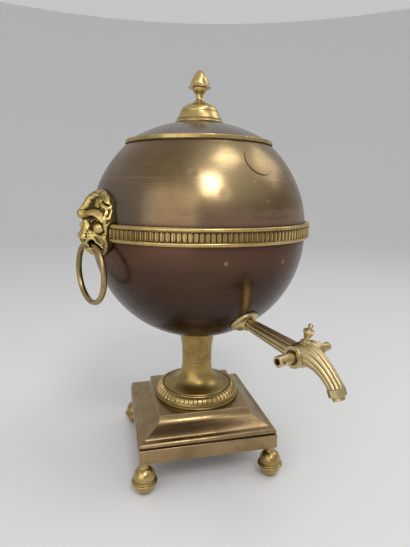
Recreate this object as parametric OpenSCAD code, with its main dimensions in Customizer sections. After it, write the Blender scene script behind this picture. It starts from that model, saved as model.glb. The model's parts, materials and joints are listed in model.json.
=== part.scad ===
// Globe tea urn: copper globe with brass girdle, lion-mask ring handles, plug
// tap, turned stem and a square plinth on four ball feet. Millimetres.
// Origin on the globe's axis at floor level. -Y is the tap side, +X and -X
// are the two mask sides, +Z is up.

/* [Body] */
// Radius of the upper and lower half-globes
body_r = 118; // [112:1:124]
// Height of the straight belt between the two half-globes
belt_h = 5.4; // [3:0.2:9]
// Thickness of the copper sheet
shell_t = 1.6; // [1.2:0.1:2.4]
// Radius of the mouth at its edge
mouth_r = 79.2; // [74:0.2:84]
// Turn of the globe and its tap against the plinth, in degrees
urn_turn = 23; // [0:1:45]

/* [Girdle band] */
// Height of the brass girdle band
band_h = 16.2; // [12:0.2:20]
// How far the band stands proud of the globe
band_proud = 4.6; // [3:0.1:7]
// Height of each plain bead along the band's edges
band_bead_h = 3.6; // [2:0.1:5]
// Depth of the ornament field below the beads
band_sink = 1.6; // [0.6:0.1:2.2]
// Rise of the band's middle above the globe's middle
band_rise = 4; // [0:0.2:5]

/* [Lid] */
// Height of the brass ring round the lid
lid_ring_h = 4; // [3:0.1:6]
// How far the ring stands outside the mouth's edge
lid_ring_proud = 0.5; // [0:0.1:2]
// Radius of the lid's dome
lid_dome_r = 144; // [130:1:180]
// Thickness of the lid's sheet
lid_t = 1.4; // [1:0.1:2]
// Depth of the bezel below the mouth's edge
bezel_depth = 8; // [5:0.5:12]
// Radius of the brass calotte on the lid
cap_r = 26.6; // [22:0.2:32]
// Height of the calotte
cap_h = 22.4; // [18:0.2:28]
// Height of the acorn finial above the calotte
finial_h = 32.8; // [28:0.2:40]
// Radius of the finial's widest flange
finial_r = 12.1; // [10:0.1:15]
// How far the lid lifts before it is clear to take away
lid_lift = 150; // [60:5:200]

/* [Stem] */
// Radius of the stem at its waist
stem_r = 17.4; // [15:0.2:20]
// Radius of the collar where it meets the globe
collar_top_r = 22; // [20:0.5:26]
// Height of the collar from the coupling to the globe's contact circle
collar_h = 33.7; // [28:0.5:40]
// Height of the screwed coupling between collar and trumpet
coupling_h = 4.8; // [4:0.2:8]
// Height of the trumpet from the plinth to the coupling
trumpet_h = 39.8; // [36:0.5:48]
// Radius of the trumpet's bottom flange
flange_r = 50; // [48:0.5:51]
// Thickness of the flange
flange_t = 1.8; // [1.4:0.1:3]
// Wall of the cast stem pieces
stem_wall = 2.4; // [2:0.1:3.5]
// Radius of the tie rod
rod_r = 3; // [2.5:0.1:4]

/* [Plinth] */
// Width of the square plinth
plinth_w = 152; // [146:1:160]
// Height of the plain fascia
fascia_h = 15.5; // [12:0.5:20]
// Height of the rounded moulding above the fascia
ovolo_h = 7.2; // [6:0.2:9]
// Width of the flat step inside the rounded moulding
step_w = 8; // [6:0.5:10]
// Height of the hollow moulding up to the top plate
cavetto_h = 16.6; // [14:0.2:20]
// Width of the square top plate
top_w = 102; // [101:0.5:104]
// Wall of the plinth
plinth_t = 2.4; // [2:0.1:3]
// Width of the flange turned in along the plinth's lower edge
return_w = 15; // [14:0.5:18]

/* [Feet] */
// Height of the feet
foot_h = 34.5; // [30:0.5:40]
// Radius of the bead round each foot
foot_r = 13.8; // [12:0.2:15]
// Radius of the foot's neck
foot_neck_r = 4.7; // [4:0.1:5.5]
// Distance from the plinth's side to the foot's centre
foot_inset = 5.4; // [5:0.2:8]

/* [Tap] */
// Height of the point where the tap's axis meets the globe
tap_z = 185.5; // [182:0.5:192]
// Downward slope of the shank, in degrees
tap_slope = 9; // [5:0.5:12]
// Distance from the globe's axis to the plug's axis
plug_y = 159.5; // [154:0.5:164]
// Radius of the barrel
barrel_r = 10.2; // [9.6:0.1:11.5]
// Reach of the barrel on the handle side
barrel_front = 11.5; // [10:0.5:13]
// Reach of the barrel on the nut side
barrel_back = 17; // [15:0.5:20]
// Radius of the plug at its large end
plug_r = 6.9; // [6.4:0.1:7.4]
// Radius of the plug at its small end
plug_small_r = 5.6; // [5.2:0.1:6]
// Running clearance round the plug
plug_gap = 0.05; // [0.02:0.01:0.1]
// Radius of the handle stub
stub_r = 3.9; // [3.6:0.1:4.4]
// Length of the handle stub
stub_l = 19; // [16:0.5:22]
// Radius of the socket in the handle stub
socket_r = 2.5; // [2.2:0.1:2.8]
// Depth of the socket in the handle stub
socket_l = 12; // [10:0.5:14]
// Radius of the pin holes across the stub and the tail
pin_hole_r = 1.3; // [1:0.1:1.5]
// Length of the tail beyond the nut
tail_l = 13.4; // [12:0.2:16]
// Radius of the tail
tail_r = 4.1; // [3.8:0.1:4.6]
// Distance from the globe's axis to the middle of the nozzle's mouth
mouth_y = 203.5; // [198:0.5:208]
// Height of the nozzle's mouth
nozzle_z = 148; // [144:0.5:152]
// Tilt of the nozzle from upright, in degrees
nozzle_tilt = 27; // [18:1:32]
// Width of the collar round the nozzle
nozzle_w = 16.6; // [15:0.2:18]
// Radius of the nozzle's bore
nozzle_bore_r = 4; // [3.4:0.1:4.6]
// Radius of the escutcheon against the globe
escutcheon_r = 14.6; // [13:0.2:16]
// Height of the small finial on the barrel
tap_finial_h = 19.5; // [17:0.5:22]
// Outward tilt of the small finial, in degrees
tap_finial_tilt = 12; // [8:1:15]

/* [Masks and ring handles] */
// Height of the ring's pivot in the lion's mouth
mouth_pivot_z = 264; // [262:0.5:266]
// Distance from the globe's axis to the ring's plane
ring_x = 128; // [127:0.2:130]
// Radius of the ring's centre line
ring_r = 29.5; // [27:0.5:32]
// Half-thickness of the ring in its plane
ring_tube_a = 2.3; // [2:0.1:2.5]
// Half-thickness of the ring across its plane
ring_tube_b = 3; // [2.6:0.1:3.2]
// Height of the lion mask
mask_h = 66; // [62:1:70]
// Half-width of the lion mask
mask_w = 26; // [24:0.5:28]

/* [Heater] */
// Outer radius of the heater well
well_r = 25; // [22:0.5:28]
// Wall of the heater well
well_t = 1.5; // [1.2:0.1:2]
// Height of the well's rim below the mouth's edge
well_drop = 20; // [18:0.5:24]
// Radius of the iron slug
iron_r = 19.5; // [17:0.5:20]
// Length of the iron slug without its eye
iron_l = 145; // [120:1:150]

/* [Hidden] */

copper = [0.55, 0.36, 0.22];
dark_copper = [0.33, 0.16, 0.1];
brass = [0.78, 0.62, 0.28];
pale_brass = [0.74, 0.64, 0.42];
bronze = [0.5, 0.38, 0.22];
iron_grey = [0.25, 0.24, 0.23];

round_fn = 128;
small_fn = 64;
seat = 0.05;      // gap between pieces soldered or seated on a curved face
slack = 0.3;      // gap between pieces that lift off or swing past each other
far = 400;        // larger than any cut needs

// Heights, worked up from the floor
fascia_z = foot_h + fascia_h;
step_z = fascia_z + ovolo_h;
plinth_z = step_z + cavetto_h;
coupling_z = plinth_z + trumpet_h;
collar_z = coupling_z + coupling_h;
collar_top_z = collar_z + collar_h;
low_z = collar_top_z + sqrt(pow(body_r, 2) - pow(collar_top_r, 2));
up_z = low_z + belt_h;
seam_z = low_z + belt_h / 2;
band_z = seam_z + band_rise;
mouth_z = up_z + sqrt(pow(body_r, 2) - pow(mouth_r, 2));
inner_r = body_r - shell_t;

// Mouth rim and lid seats
rim_t = 1;
rim_in_r = mouth_r - 6.3;
rim_sleeve_t = 2.2;
rim_sleeve_h = 10;
ring_z = mouth_z + rim_t;
ring_base_h = lid_ring_h / 2;
bezel_t = 1.3;
bezel_flange_t = 0.8;
bezel_r = rim_in_r - slack;
ring_out_r = mouth_r + lid_ring_proud;
dome_edge_r = ring_out_r - 2.1;
dome_edge_z = ring_z + ring_base_h + bezel_flange_t;
dome_c = dome_edge_z - sqrt(pow(lid_dome_r, 2) - pow(dome_edge_r, 2));
dome_top_z = dome_c + lid_dome_r;
cap_z = dome_c + sqrt(pow(lid_dome_r, 2) - pow(cap_r, 2));
cap_top_z = cap_z + cap_h;
tip_z = cap_top_z + finial_h;
stud_r = 2.5;
lid_nut_t = 3.5;

// Curves used by several outlines
function bez(a, b, c, d, n) = [for (i = [0:n]) let (t = i / n, s = 1 - t)
    s * s * s * a + 3 * s * s * t * b + 3 * s * t * t * c + t * t * t * d];
function arc(c, r, a0, a1, n) = [for (i = [0:n]) let (a = a0 + (a1 - a0) * i / n)
    c + r * [cos(a), sin(a)]];
function bump(x, c, w) = exp(-pow((x - c) / w, 2));

module turned(points) rotate_extrude($fn = round_fn) polygon(points);

// ---------------------------------------------------------------- globe

module globe_2d(r) {
    translate([0, low_z]) circle(r, $fn = round_fn);
    translate([0, up_z]) circle(r, $fn = round_fn);
    translate([-r, low_z]) square([2 * r, belt_h]);
}

module half_plane(z0, z1, r0 = 0) translate([r0, z0]) square([far, z1 - z0]);

module shell_2d(z0, z1, r0 = 0) intersection() {
    difference() {
        globe_2d(body_r);
        globe_2d(inner_r);
    }
    half_plane(z0, z1, r0);
}

mask_stud_r = 2;
mask_stud_z = [mouth_pivot_z + 34, mouth_pivot_z + 24];
mask_stud_y = 14;

// Studs that hold each mask: two, side by side behind its forehead
module at_mask_studs() for (side = [-1, 1]) translate([0, side * mask_stud_y, mask_stud_z[0]])
    rotate([0, 90, 0]) children();

tap_dir = [0, -cos(tap_slope), -sin(tap_slope)];
tap_y = sqrt(pow(body_r, 2) - pow(low_z - tap_z, 2));
tap_face_tilt = asin((low_z - tap_z) / body_r);
waterway_r = 4;

// Local frames along the tap
module at_tap_root() translate([0, -tap_y, tap_z]) rotate([90 + tap_slope, 0, 0]) children();
module at_tap_face() translate([0, -tap_y, tap_z]) rotate([90 + tap_face_tilt, 0, 0]) children();

module lower_shell() color(dark_copper) difference() {
    rotate_extrude($fn = round_fn) shell_2d(0, seam_z);
    at_tap_root() translate([0, 0, -15]) cylinder(r = waterway_r + 2.1, h = 30, $fn = small_fn);
}

module upper_shell() color(copper) difference() {
    rotate_extrude($fn = round_fn) shell_2d(seam_z, mouth_z);
    for (turn = [0, 180]) rotate(turn) at_mask_studs()
        cylinder(r = mask_stud_r + seat, h = far, $fn = small_fn);
}

// Moulded girdle: a bead along each edge and a sunk field for the ornament
band_in_r = body_r + seat;
band_out_r = body_r + band_proud;
module band_2d(grow = 0) {
    low = band_z - band_h / 2;
    for (z = [low + band_bead_h / 2, low + band_h - band_bead_h / 2])
        translate([band_in_r, z - band_bead_h / 2 - grow])
            square([band_proud - 1 + grow, band_bead_h + 2 * grow]);
    translate([band_in_r, low - grow])
        square([band_proud - band_sink - seat + grow, band_h + 2 * grow]);
    for (z = [low + band_bead_h / 2, low + band_h - band_bead_h / 2])
        translate([band_out_r - band_bead_h / 2, z])
            circle(band_bead_h / 2 + grow, $fn = small_fn);
}

mask_band_gap = 0.2;
module girdle_band() color(brass) difference() {
    rotate_extrude($fn = round_fn) difference() {
        band_2d();
        globe_2d(band_in_r);
    }
    for (turn = [0, 180]) rotate(turn)
        translate([0, -mask_reach, 0]) cube([far, 2 * mask_reach, far]);
}
// Half the gap that the masks leave in the girdle
mask_reach = mask_w - 1;

module mouth_rim() color(brass) rotate_extrude($fn = round_fn) {
    translate([rim_in_r, mouth_z]) square([mouth_r - 1 - rim_in_r, rim_t]);
    translate([rim_in_r, mouth_z - rim_sleeve_h])
        square([rim_sleeve_t, rim_sleeve_h + rim_t]);
}

cartouche_r = 15;
cartouche_t = 0.7;
cartouche_tilt = 35.5;
// Plain round plate let onto the shoulder above the tap
module cartouche_disc() color(copper) intersection() {
    translate([0, 0, up_z]) difference() {
        sphere(body_r + cartouche_t + seat, $fn = round_fn);
        sphere(body_r + seat, $fn = round_fn);
    }
    translate([0, 0, up_z]) rotate([90 - cartouche_tilt, 0, 0])
        translate([0, 0, body_r / 2]) cylinder(r = cartouche_r, h = body_r, $fn = small_fn);
}

// ---------------------------------------------------------------- lid

module lid_ring() color(brass) rotate_extrude($fn = round_fn) difference() {
    union() {
        translate([bezel_r + seat, ring_z]) square([ring_out_r - 0.6 - bezel_r - seat, ring_base_h]);
        translate([dome_edge_r + 0.1, ring_z]) square([1.2, lid_ring_h]);
        translate([dome_edge_r + 0.1, ring_z + 0.5]) square([ring_out_r - dome_edge_r - 0.1, lid_ring_h - 1.4]);
        translate([dome_edge_r + 1.3, ring_z + lid_ring_h - 0.9]) circle(0.75, $fn = small_fn);
    }
}

module lid_bezel() color(brass) rotate_extrude($fn = round_fn) {
    translate([bezel_r - bezel_t, mouth_z - bezel_depth])
        square([bezel_t, bezel_depth + rim_t + ring_base_h]);
    translate([bezel_r - bezel_t, ring_z + ring_base_h])
        square([dome_edge_r - bezel_r + bezel_t, bezel_flange_t]);
}

module lid_dome() color(copper) rotate_extrude($fn = round_fn) intersection() {
    difference() {
        translate([0, dome_c]) circle(lid_dome_r, $fn = round_fn);
        translate([0, dome_c]) circle(lid_dome_r - lid_t, $fn = round_fn);
        translate([0, dome_edge_z]) square([stud_r + seat, far]);
    }
    half_plane(dome_edge_z, dome_top_z + 1);
}

module lid_cap() color(brass) rotate_extrude($fn = round_fn) difference() {
    polygon(concat(
        [[stud_r + seat, cap_z - 1], [cap_r - 0.8, cap_z - 1]],
        arc([cap_r - 1.5, cap_z + 1.7], 1.5, -70, 80, 8),
        [[cap_r - 3.2, cap_z + 3.4]],
        bez([cap_r - 3.6, cap_z + 3.9], [cap_r - 5.6, cap_z + 5], [cap_r - 6, cap_z + 7],
            [cap_r - 6.1, cap_z + 9], 6),
        arc([cap_r - 7.6, cap_z + 10.4], 1.7, -40, 50, 5),
        bez([cap_r - 6.6, cap_z + 12], [cap_r - 8.2, cap_z + 16], [cap_r - 12, cap_z + 19.2],
            [8, cap_top_z - 0.4], 8),
        [[7.4, cap_top_z], [stud_r + seat, cap_top_z]]));
    translate([0, dome_c]) circle(lid_dome_r + seat, $fn = round_fn);
    translate([0, dome_c]) square([stud_r + seat, far]);
}

// Acorn on a cup and a waisted neck, with its stud down through the lid
module lid_finial() color(brass) {
    top = tip_z - cap_top_z;
    turned(concat(
        [[0, cap_top_z], [7.2, cap_top_z], [7.2, cap_top_z + 1]],
        bez([6.6, cap_top_z + 1.6], [4.4, cap_top_z + 3], [3.9, cap_top_z + 4.4],
            [4, cap_top_z + 6.6], 6),
        [[5.2, cap_top_z + 7.2], [5.2, cap_top_z + 8.6], [4.6, cap_top_z + 9.2]],
        bez([4.8, cap_top_z + 9.6], [7, cap_top_z + 10.2], [8.8, cap_top_z + 11.6],
            [9.4, cap_top_z + 13.8], 6),
        [[finial_r - 0.5, cap_top_z + 14.6]],
        arc([finial_r - 0.9, cap_top_z + 15.6], 0.9, -50, 90, 5),
        [[10.2, cap_top_z + 16.7], [10, cap_top_z + 18]],
        bez([10, cap_top_z + 18], [9.9, cap_top_z + 24], [6.4, tip_z - 4],
            [1.4, tip_z - 0.6], 10),
        [[0, tip_z]]));
    translate([0, 0, dome_top_z - lid_t - lid_nut_t - 1.5])
        cylinder(r = stud_r, h = cap_top_z - dome_top_z + lid_t + lid_nut_t + 1.6, $fn = small_fn);
}

module lid_nut() color(brass) difference() {
    translate([0, 0, dome_top_z - lid_t - lid_nut_t - 0.15]) cylinder(r = 6, h = lid_nut_t, $fn = 6);
    cylinder(r = stud_r + seat, h = far * 2, $fn = small_fn);
}

// ---------------------------------------------------------------- heater

well_top_z = mouth_z - well_drop;
well_floor_z = low_z - sqrt(pow(inner_r, 2) - pow(well_r, 2)) + 4;
well_rim_r = well_r + 5;
cap_plug_h = 6;
iron_z = well_floor_z + well_t + seat;
iron_top_z = iron_z + iron_l;
eye_r = 7;
eye_tube = 2.2;

module heater_well() color(pale_brass) difference() {
    union() {
        rotate_extrude($fn = round_fn) {
            translate([well_r - well_t, 0]) square([well_t, well_top_z]);
            translate([0, well_floor_z]) square([well_r, well_t]);
            translate([well_r - well_t, well_top_z - well_t]) square([well_rim_r - well_r + well_t, well_t]);
        }
    }
    rotate_extrude($fn = round_fn) difference() {
        square([far, low_z]);
        globe_2d(inner_r - seat);
    }
}

module heater_cap() color(brass) turned(concat(
    [[0, well_top_z - cap_plug_h], [well_r - well_t - slack, well_top_z - cap_plug_h],
     [well_r - well_t - slack, well_top_z], [well_rim_r - 1, well_top_z],
     [well_rim_r - 1, well_top_z + 1.6], [6, well_top_z + 4]],
    bez([4.2, well_top_z + 5], [3, well_top_z + 6], [3, well_top_z + 7], [4.6, well_top_z + 8.4], 5),
    arc([0, well_top_z + 11], 5.2, -25, 90, 8)));

module heater_iron() color(iron_grey) {
    turned([[0, iron_z], [iron_r - 1, iron_z], [iron_r, iron_z + 1], [iron_r, iron_top_z - 2],
        [iron_r - 2, iron_top_z], [0, iron_top_z]]);
    translate([0, 0, iron_top_z + eye_r - 1]) rotate([90, 0, 0]) rotate_extrude($fn = small_fn)
        translate([eye_r, 0]) circle(eye_tube, $fn = 32);
}

// ---------------------------------------------------------------- lion masks

mask_low_z = mouth_pivot_z - 14.5;
mask_back_gap = 0.3;
mask_edge = 1.4;
muzzle_w = 10.5;
mask_rows = 32;
mask_cols = 24;

// Half-width of the mask at a height s from 0 at the chin to 1 at the crown
function mask_half(s) = mask_w * pow(1 - pow(abs(2 * s - 1.08) / 1.09, 2.7), 0.5);

// Relief over the globe at y across the face and z above the ring's pivot
function relief(y, z, e) = let (v = relief_raw(y, z, e))
    mask_edge + 0.8 * ln(1 + exp((v - mask_edge) / 0.8));
function relief_raw(y, z, e) = let (a = abs(y))
    2.2 + 9.5 * pow(max(0, 1 - e * e), 0.6) * (0.62 + 0.38 * bump(z, 30, 30))
    + 5.5 * bump(a, 0, 10) * bump(z, 42, 9)
    + 9 * bump(a, 6.5, 6) * bump(z, 26.5, 4.5)
    - 6.5 * bump(a, 9.5, 4.2) * bump(z, 18.5, 4)
    + 6 * bump(a, 15, 4.5) * bump(z, 13, 5)
    + 4.5 * bump(a, 0, 3.4) * bump(z, 17, 8)
    + 11 * bump(a, 0, 6.5) * bump(z, 6, 4.8)
    + 5.5 * bump(a, 5.5, 4.5) * bump(z, 1, 5)
    - 5 * bump(a, 15, 4) * bump(z, 1, 5)
    - 4.5 * bump(a, 16, 6) * bump(z, -9, 6)
    + 1.5 * bump(a, 0, 7) * bump(z, -10, 4)
    + 1.3 * e * e * cos(12 * atan2(y, z - 14));

function mask_point(s, t, lift) = let (
    half = mask_half(s), y = half * t, z = mask_low_z + mask_h * s,
    globe = sqrt(max(1, pow(body_r + mask_back_gap, 2) - pow(y, 2)
        - pow(max(0, z - up_z) + min(0, z - low_z), 2))))
    [globe + lift * relief(y, z - mouth_pivot_z, abs(t)), y, z];

module mask_relief() {
    rows = mask_rows;
    cols = mask_cols;
    stop = 0.985;
    start = 0.012;
    front = [for (i = [0:rows]) for (j = [0:cols])
        mask_point(start + (stop - start) * i / rows, 2 * j / cols - 1, 1)];
    back = [for (i = [0:rows]) for (j = [0:cols])
        mask_point(start + (stop - start) * i / rows, 2 * j / cols - 1, 0)];
    n = cols + 1;
    m = (rows + 1) * n;
    function at(i, j) = i * n + j;
    polyhedron(points = concat(front, back), faces = concat(
        [for (i = [0:rows - 1]) for (j = [0:cols - 1]) [at(i, j), at(i + 1, j), at(i + 1, j + 1)]],
        [for (i = [0:rows - 1]) for (j = [0:cols - 1]) [at(i, j), at(i + 1, j + 1), at(i, j + 1)]],
        [for (i = [0:rows - 1]) for (j = [0:cols - 1]) [m + at(i, j), m + at(i + 1, j + 1), m + at(i + 1, j)]],
        [for (i = [0:rows - 1]) for (j = [0:cols - 1]) [m + at(i, j), m + at(i, j + 1), m + at(i + 1, j + 1)]],
        [for (i = [0:rows - 1]) [at(i, 0), m + at(i, 0), m + at(i + 1, 0), at(i + 1, 0)]],
        [for (i = [0:rows - 1]) [at(i, cols), at(i + 1, cols), m + at(i + 1, cols), m + at(i, cols)]],
        [for (j = [0:cols - 1]) [at(0, j), at(0, j + 1), m + at(0, j + 1), m + at(0, j)]],
        [for (j = [0:cols - 1]) [at(rows, j), m + at(rows, j), m + at(rows, j + 1), at(rows, j + 1)]]));
}

// Channel through the mouth: the space the ring sweeps as it swings
channel_half = 16;
function ring_drop(y) = ring_r - sqrt(ring_r * ring_r - y * y);
module mouth_channel() translate([ring_x, 0, mouth_pivot_z]) rotate([90, 0, 0])
    rotate_extrude($fn = small_fn) polygon(concat([[0, -channel_half]],
        [for (i = [0:12]) let (y = -channel_half + channel_half * i / 6)
            [ring_drop(y) + ring_tube_b + slack, y]],
        [[0, channel_half]]));

// Lion mask on the +X side
module lion_mask() {
    difference() {
        mask_relief();
        mouth_channel();
        rotate_extrude($fn = round_fn) band_2d(mask_band_gap);
    }
    at_mask_studs() translate([0, 0, inner_r - 14])
        cylinder(r = mask_stud_r, h = 17, $fn = small_fn);
}
module mask_left() color(brass) rotate(180) lion_mask();
module mask_right() color(brass) lion_mask();

mask_nut_t = 3;
module mask_nuts() color(brass) for (turn = [0, 180]) rotate(turn) at_mask_studs()
    translate([0, 0, mask_nut_x - mask_nut_t]) difference() {
        cylinder(r = 4.6, h = mask_nut_t, $fn = 6);
        translate([0, 0, -1]) cylinder(r = mask_stud_r + seat, h = mask_nut_t + 2, $fn = small_fn);
    }
// The nut's corners meet the curved inner wall of the shell
mask_nut_x = sqrt(pow(inner_r, 2) - pow(mask_stud_z[0] + 4.6 - up_z, 2) - pow(mask_stud_y + 4.6, 2)) - seat;

module ring_handle() translate([ring_x, 0, mouth_pivot_z - ring_r]) rotate([0, 90, 0])
    rotate_extrude($fn = round_fn) intersection() {
        translate([ring_r, 0]) circle(ring_tube_b, $fn = small_fn);
        translate([ring_r - ring_tube_a, -ring_tube_b]) square([2 * ring_tube_a, 2 * ring_tube_b]);
    }
module ring_handle_left() color(brass) rotate(180) ring_handle();
module ring_handle_right() color(brass) ring_handle();

// ---------------------------------------------------------------- tap

plug_z = tap_z - (plug_y - tap_y) * tan(tap_slope);
shank_l = (plug_y - tap_y) / cos(tap_slope);
shank_r0 = 6.3;
shank_r1 = 7.9;
boss_l = 8;
esc_t = 2.2;
reeds = 8;
reed_depth = 0.9;

module at_plug() translate([0, -plug_y, plug_z]) children();

// Reeded section of radius r: round lobes that meet in sharp valleys
function reeded(r, n, deep, count) = [for (i = [0:count - 1]) let (a = 360 * i / count)
    (r - deep * (1 - abs(sin(n * a / 2)))) * [cos(a), sin(a)]];

// Skin through a list of rings of points, closed at both ends
module skin(rings) {
    n = len(rings[0]);
    k = len(rings);
    polyhedron(points = [for (r = rings) for (p = r) p], faces = concat(
        [[for (j = [0:n - 1]) j]],
        [for (i = [0:k - 2]) for (j = [0:n - 1]) let (q = (j + 1) % n)
            [i * n + j, (i + 1) * n + j, (i + 1) * n + q]],
        [for (i = [0:k - 2]) for (j = [0:n - 1]) let (q = (j + 1) % n)
            [i * n + j, (i + 1) * n + q, i * n + q]],
        [[for (j = [n - 1:-1:0]) (k - 1) * n + j]]));
}

reed_points = 48;
shank_steps = 4;
module shank_skin() at_tap_root() skin([for (i = [0:shank_steps]) let (
        t = i / shank_steps, z = 3 + (shank_l - 3) * t, r = shank_r0 + (shank_r1 - shank_r0) * t)
    [for (p = reeded(r, reeds, reed_depth, reed_points)) [p[0], p[1], z]]]);

// Spout: a curve in the tap's plane from the barrel down to the nozzle
nozzle_tube_l = 3;
nozzle_h = 9.5;
nozzle_dir = [sin(nozzle_tilt), -cos(nozzle_tilt)];
function spout_mid(t) = let (s = 1 - t,
    a = [plug_y, plug_z + 0.6], b = [plug_y + 20, plug_z + 0.5],
    d = [mouth_y, nozzle_z] - (nozzle_h + seat) * nozzle_dir, c = d - 16 * nozzle_dir)
    s * s * s * a + 3 * s * s * t * b + 3 * s * t * t * c + t * t * t * d;
function unit(v) = v / norm(v);
spout_steps = 14;
spout_r0 = 9.2;
spout_r1 = 6.9;
spout_r2 = 7.6;
spout_start = 0.12;
module spout_skin() skin([for (i = [0:spout_steps]) let (
        t = spout_start + (1 - spout_start) * i / spout_steps,
        mid = spout_mid(t), dir = unit(spout_mid(t + 0.01) - spout_mid(t - 0.01)),
        up = [-dir[1], dir[0]],
        r = spout_r1 + (spout_r0 - spout_r1) * pow(1 - t, 2) + (spout_r2 - spout_r1) * pow(t, 4))
    [for (p = reeded(r, reeds, reed_depth, reed_points))
        [p[0], -(mid[0] + up[0] * p[1]), mid[1] + up[1] * p[1]]]]);

module spout_way() skin([for (i = [0:8]) let (
        t = 0.02 + 1.02 * i / 8,
        mid = spout_mid(t), dir = unit(spout_mid(t + 0.01) - spout_mid(t - 0.01)),
        up = [-dir[1], dir[0]])
    [for (j = [0:15]) let (a = 22.5 * j)
        [waterway_r * cos(a), -(mid[0] + up[0] * waterway_r * sin(a)), mid[1] + up[1] * waterway_r * sin(a)]]]);

plug_front = barrel_front - 1.6;
function plug_radius(x) = plug_r + (plug_small_r - plug_r) * (x + plug_front) / (plug_front + barrel_back);

// Barrel with its flanges, lying along X
module barrel_solid() at_plug() rotate([0, 90, 0]) rotate_extrude($fn = round_fn) {
    translate([0, -barrel_front]) square([barrel_r - 0.8, barrel_front + barrel_back]);
    translate([0, -barrel_front]) square([barrel_r, 3]);
    translate([0, barrel_back - 3]) square([barrel_r - 0.3, 3]);
}

module tap_body() color(pale_brass) difference() {
    union() {
        shank_skin();
        barrel_solid();
        spout_skin();
        at_plug() rotate([tap_finial_tilt, 0, 0]) cylinder(r = 4.6, h = barrel_r + 1.6, $fn = small_fn);
    }
    at_plug() rotate([0, 90, 0]) rotate_extrude($fn = round_fn) polygon([
        [0, -plug_front - 3], [plug_r + plug_gap, -plug_front - 3], [plug_r + plug_gap, -plug_front],
        [plug_small_r + plug_gap, barrel_back], [plug_small_r + plug_gap, barrel_back + 3],
        [0, barrel_back + 3]]);
    at_tap_root() translate([0, 0, -2]) cylinder(r = waterway_r, h = shank_l, $fn = small_fn);
    spout_way();
    at_tap_root() translate([0, 0, -10]) cylinder(r = 30, h = 13 + seat, $fn = small_fn);
    at_plug() rotate([tap_finial_tilt, 0, 0]) translate([0, 0, barrel_r - 1.4])
        cylinder(r = 1.5 + seat, h = 20, $fn = small_fn);
}

// Disc and conical boss where the tap leaves the globe
module tap_escutcheon() color(brass) difference() {
    union() {
        at_tap_face() translate([0, 0, -3]) cylinder(r = escutcheon_r, h = 3 + esc_t, $fn = round_fn);
        at_tap_root() translate([0, 0, -4]) cylinder(r1 = 12.6, r2 = shank_r0 + 1.4, h = 4 + boss_l, $fn = small_fn);
        at_tap_root() translate([0, 0, -14]) cylinder(r = waterway_r + 2, h = 18, $fn = small_fn);
    }
    difference() {
        rotate_extrude($fn = round_fn) intersection() {
            globe_2d(body_r + seat);
            half_plane(0, far);
        }
        at_tap_root() translate([0, 0, -14]) cylinder(r = waterway_r + 2, h = 17, $fn = small_fn);
    }
    at_tap_root() translate([0, 0, -15]) cylinder(r = waterway_r, h = 40, $fn = small_fn);
    at_tap_root() translate([0, 0, 3]) cylinder(r = shank_r0 + 0.25, h = 30, $fn = small_fn);
}

backnut_t = 4;
module tap_backnut() color(brass) intersection() {
    at_tap_root() translate([0, 0, -backnut_t - 8.6]) difference() {
        cylinder(r = 10, h = backnut_t + 8, $fn = 6);
        translate([0, 0, -1]) cylinder(r = waterway_r + 2 + seat, h = backnut_t + 20, $fn = small_fn);
    }
    rotate_extrude($fn = round_fn) intersection() {
        globe_2d(inner_r - seat);
        half_plane(0, far);
    }
}

// Nozzle: an eight-sided collar with a thin tube standing out of it
module at_nozzle() translate([0, -mouth_y, nozzle_z]) rotate([-nozzle_tilt, 0, 0]) children();
module tap_nozzle() color(pale_brass) difference() {
    at_nozzle() union() {
        translate([0, 0, nozzle_tube_l]) rotate(22.5)
            cylinder(r = nozzle_w / 2 / cos(22.5), h = nozzle_h - nozzle_tube_l, $fn = 8);
        cylinder(r = nozzle_bore_r + 1.3, h = nozzle_tube_l + 1, $fn = small_fn);
    }
    at_nozzle() translate([0, 0, -1]) cylinder(r = nozzle_bore_r, h = 30, $fn = small_fn);
}

module tap_finial() color(pale_brass) at_plug() rotate([tap_finial_tilt, 0, 0]) translate([0, 0, barrel_r + 1.65])
    union() {
        turned(concat([[0, 0], [3.6, 0], [3.6, 1], [2.3, 1.8]],
            bez([2.1, 2.4], [1.6, 4], [1.8, 6], [2.8, 8.6], 6),
            [[4.2, 10], [5.8, 10.7], [5.8, 11.6], [3.6, 12.6], [1.9, 13.2]],
            arc([0, tap_finial_h - 4.4], 2.6, -40, 90, 9)));
        translate([0, 0, -3]) cylinder(r = 1.5, h = 3.5, $fn = small_fn);
    }

washer_t = 1.5;
plug_nut_t = 8;
module tap_plug() color(pale_brass) at_plug() rotate([0, 90, 0]) difference() {
    union() {
        rotate_extrude($fn = round_fn) polygon([[0, -plug_front], [plug_r, -plug_front],
            [plug_small_r, barrel_back - 0.5], [0, barrel_back - 0.5]]);
        rotate_extrude($fn = small_fn) polygon(concat(
            [[0, -barrel_front - stub_l], [stub_r - 0.3, -barrel_front - stub_l],
             [stub_r, -barrel_front - stub_l + 0.3], [stub_r, -plug_front], [0, -plug_front]]));
        rotate_extrude($fn = small_fn) polygon(concat(
            [[0, barrel_back - 0.5], [tail_r - 0.4, barrel_back - 0.5],
             [tail_r - 0.4, tail_z], [tail_r, tail_z], [tail_r, tail_z + tail_l - 6],
             [tail_r - 0.8, tail_z + tail_l - 5.4], [tail_r - 0.8, tail_z + tail_l - 4.8],
             [tail_r, tail_z + tail_l - 4.2]],
            arc([0, tail_z + tail_l - 4.1], tail_r, 10, 90, 6)));
    }
    translate([0, 0, -barrel_front - stub_l - 1]) cylinder(r = socket_r, h = socket_l + 1, $fn = small_fn);
    for (z = [-barrel_front - stub_l + 6, tail_z + 2]) translate([0, 0, z]) rotate([90, 0, 0])
        cylinder(r = pin_hole_r, h = 20, center = true, $fn = small_fn);
    rotate([90, 0, 0]) cylinder(r = waterway_r - 0.4, h = 20, center = true, $fn = small_fn);
}
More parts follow.
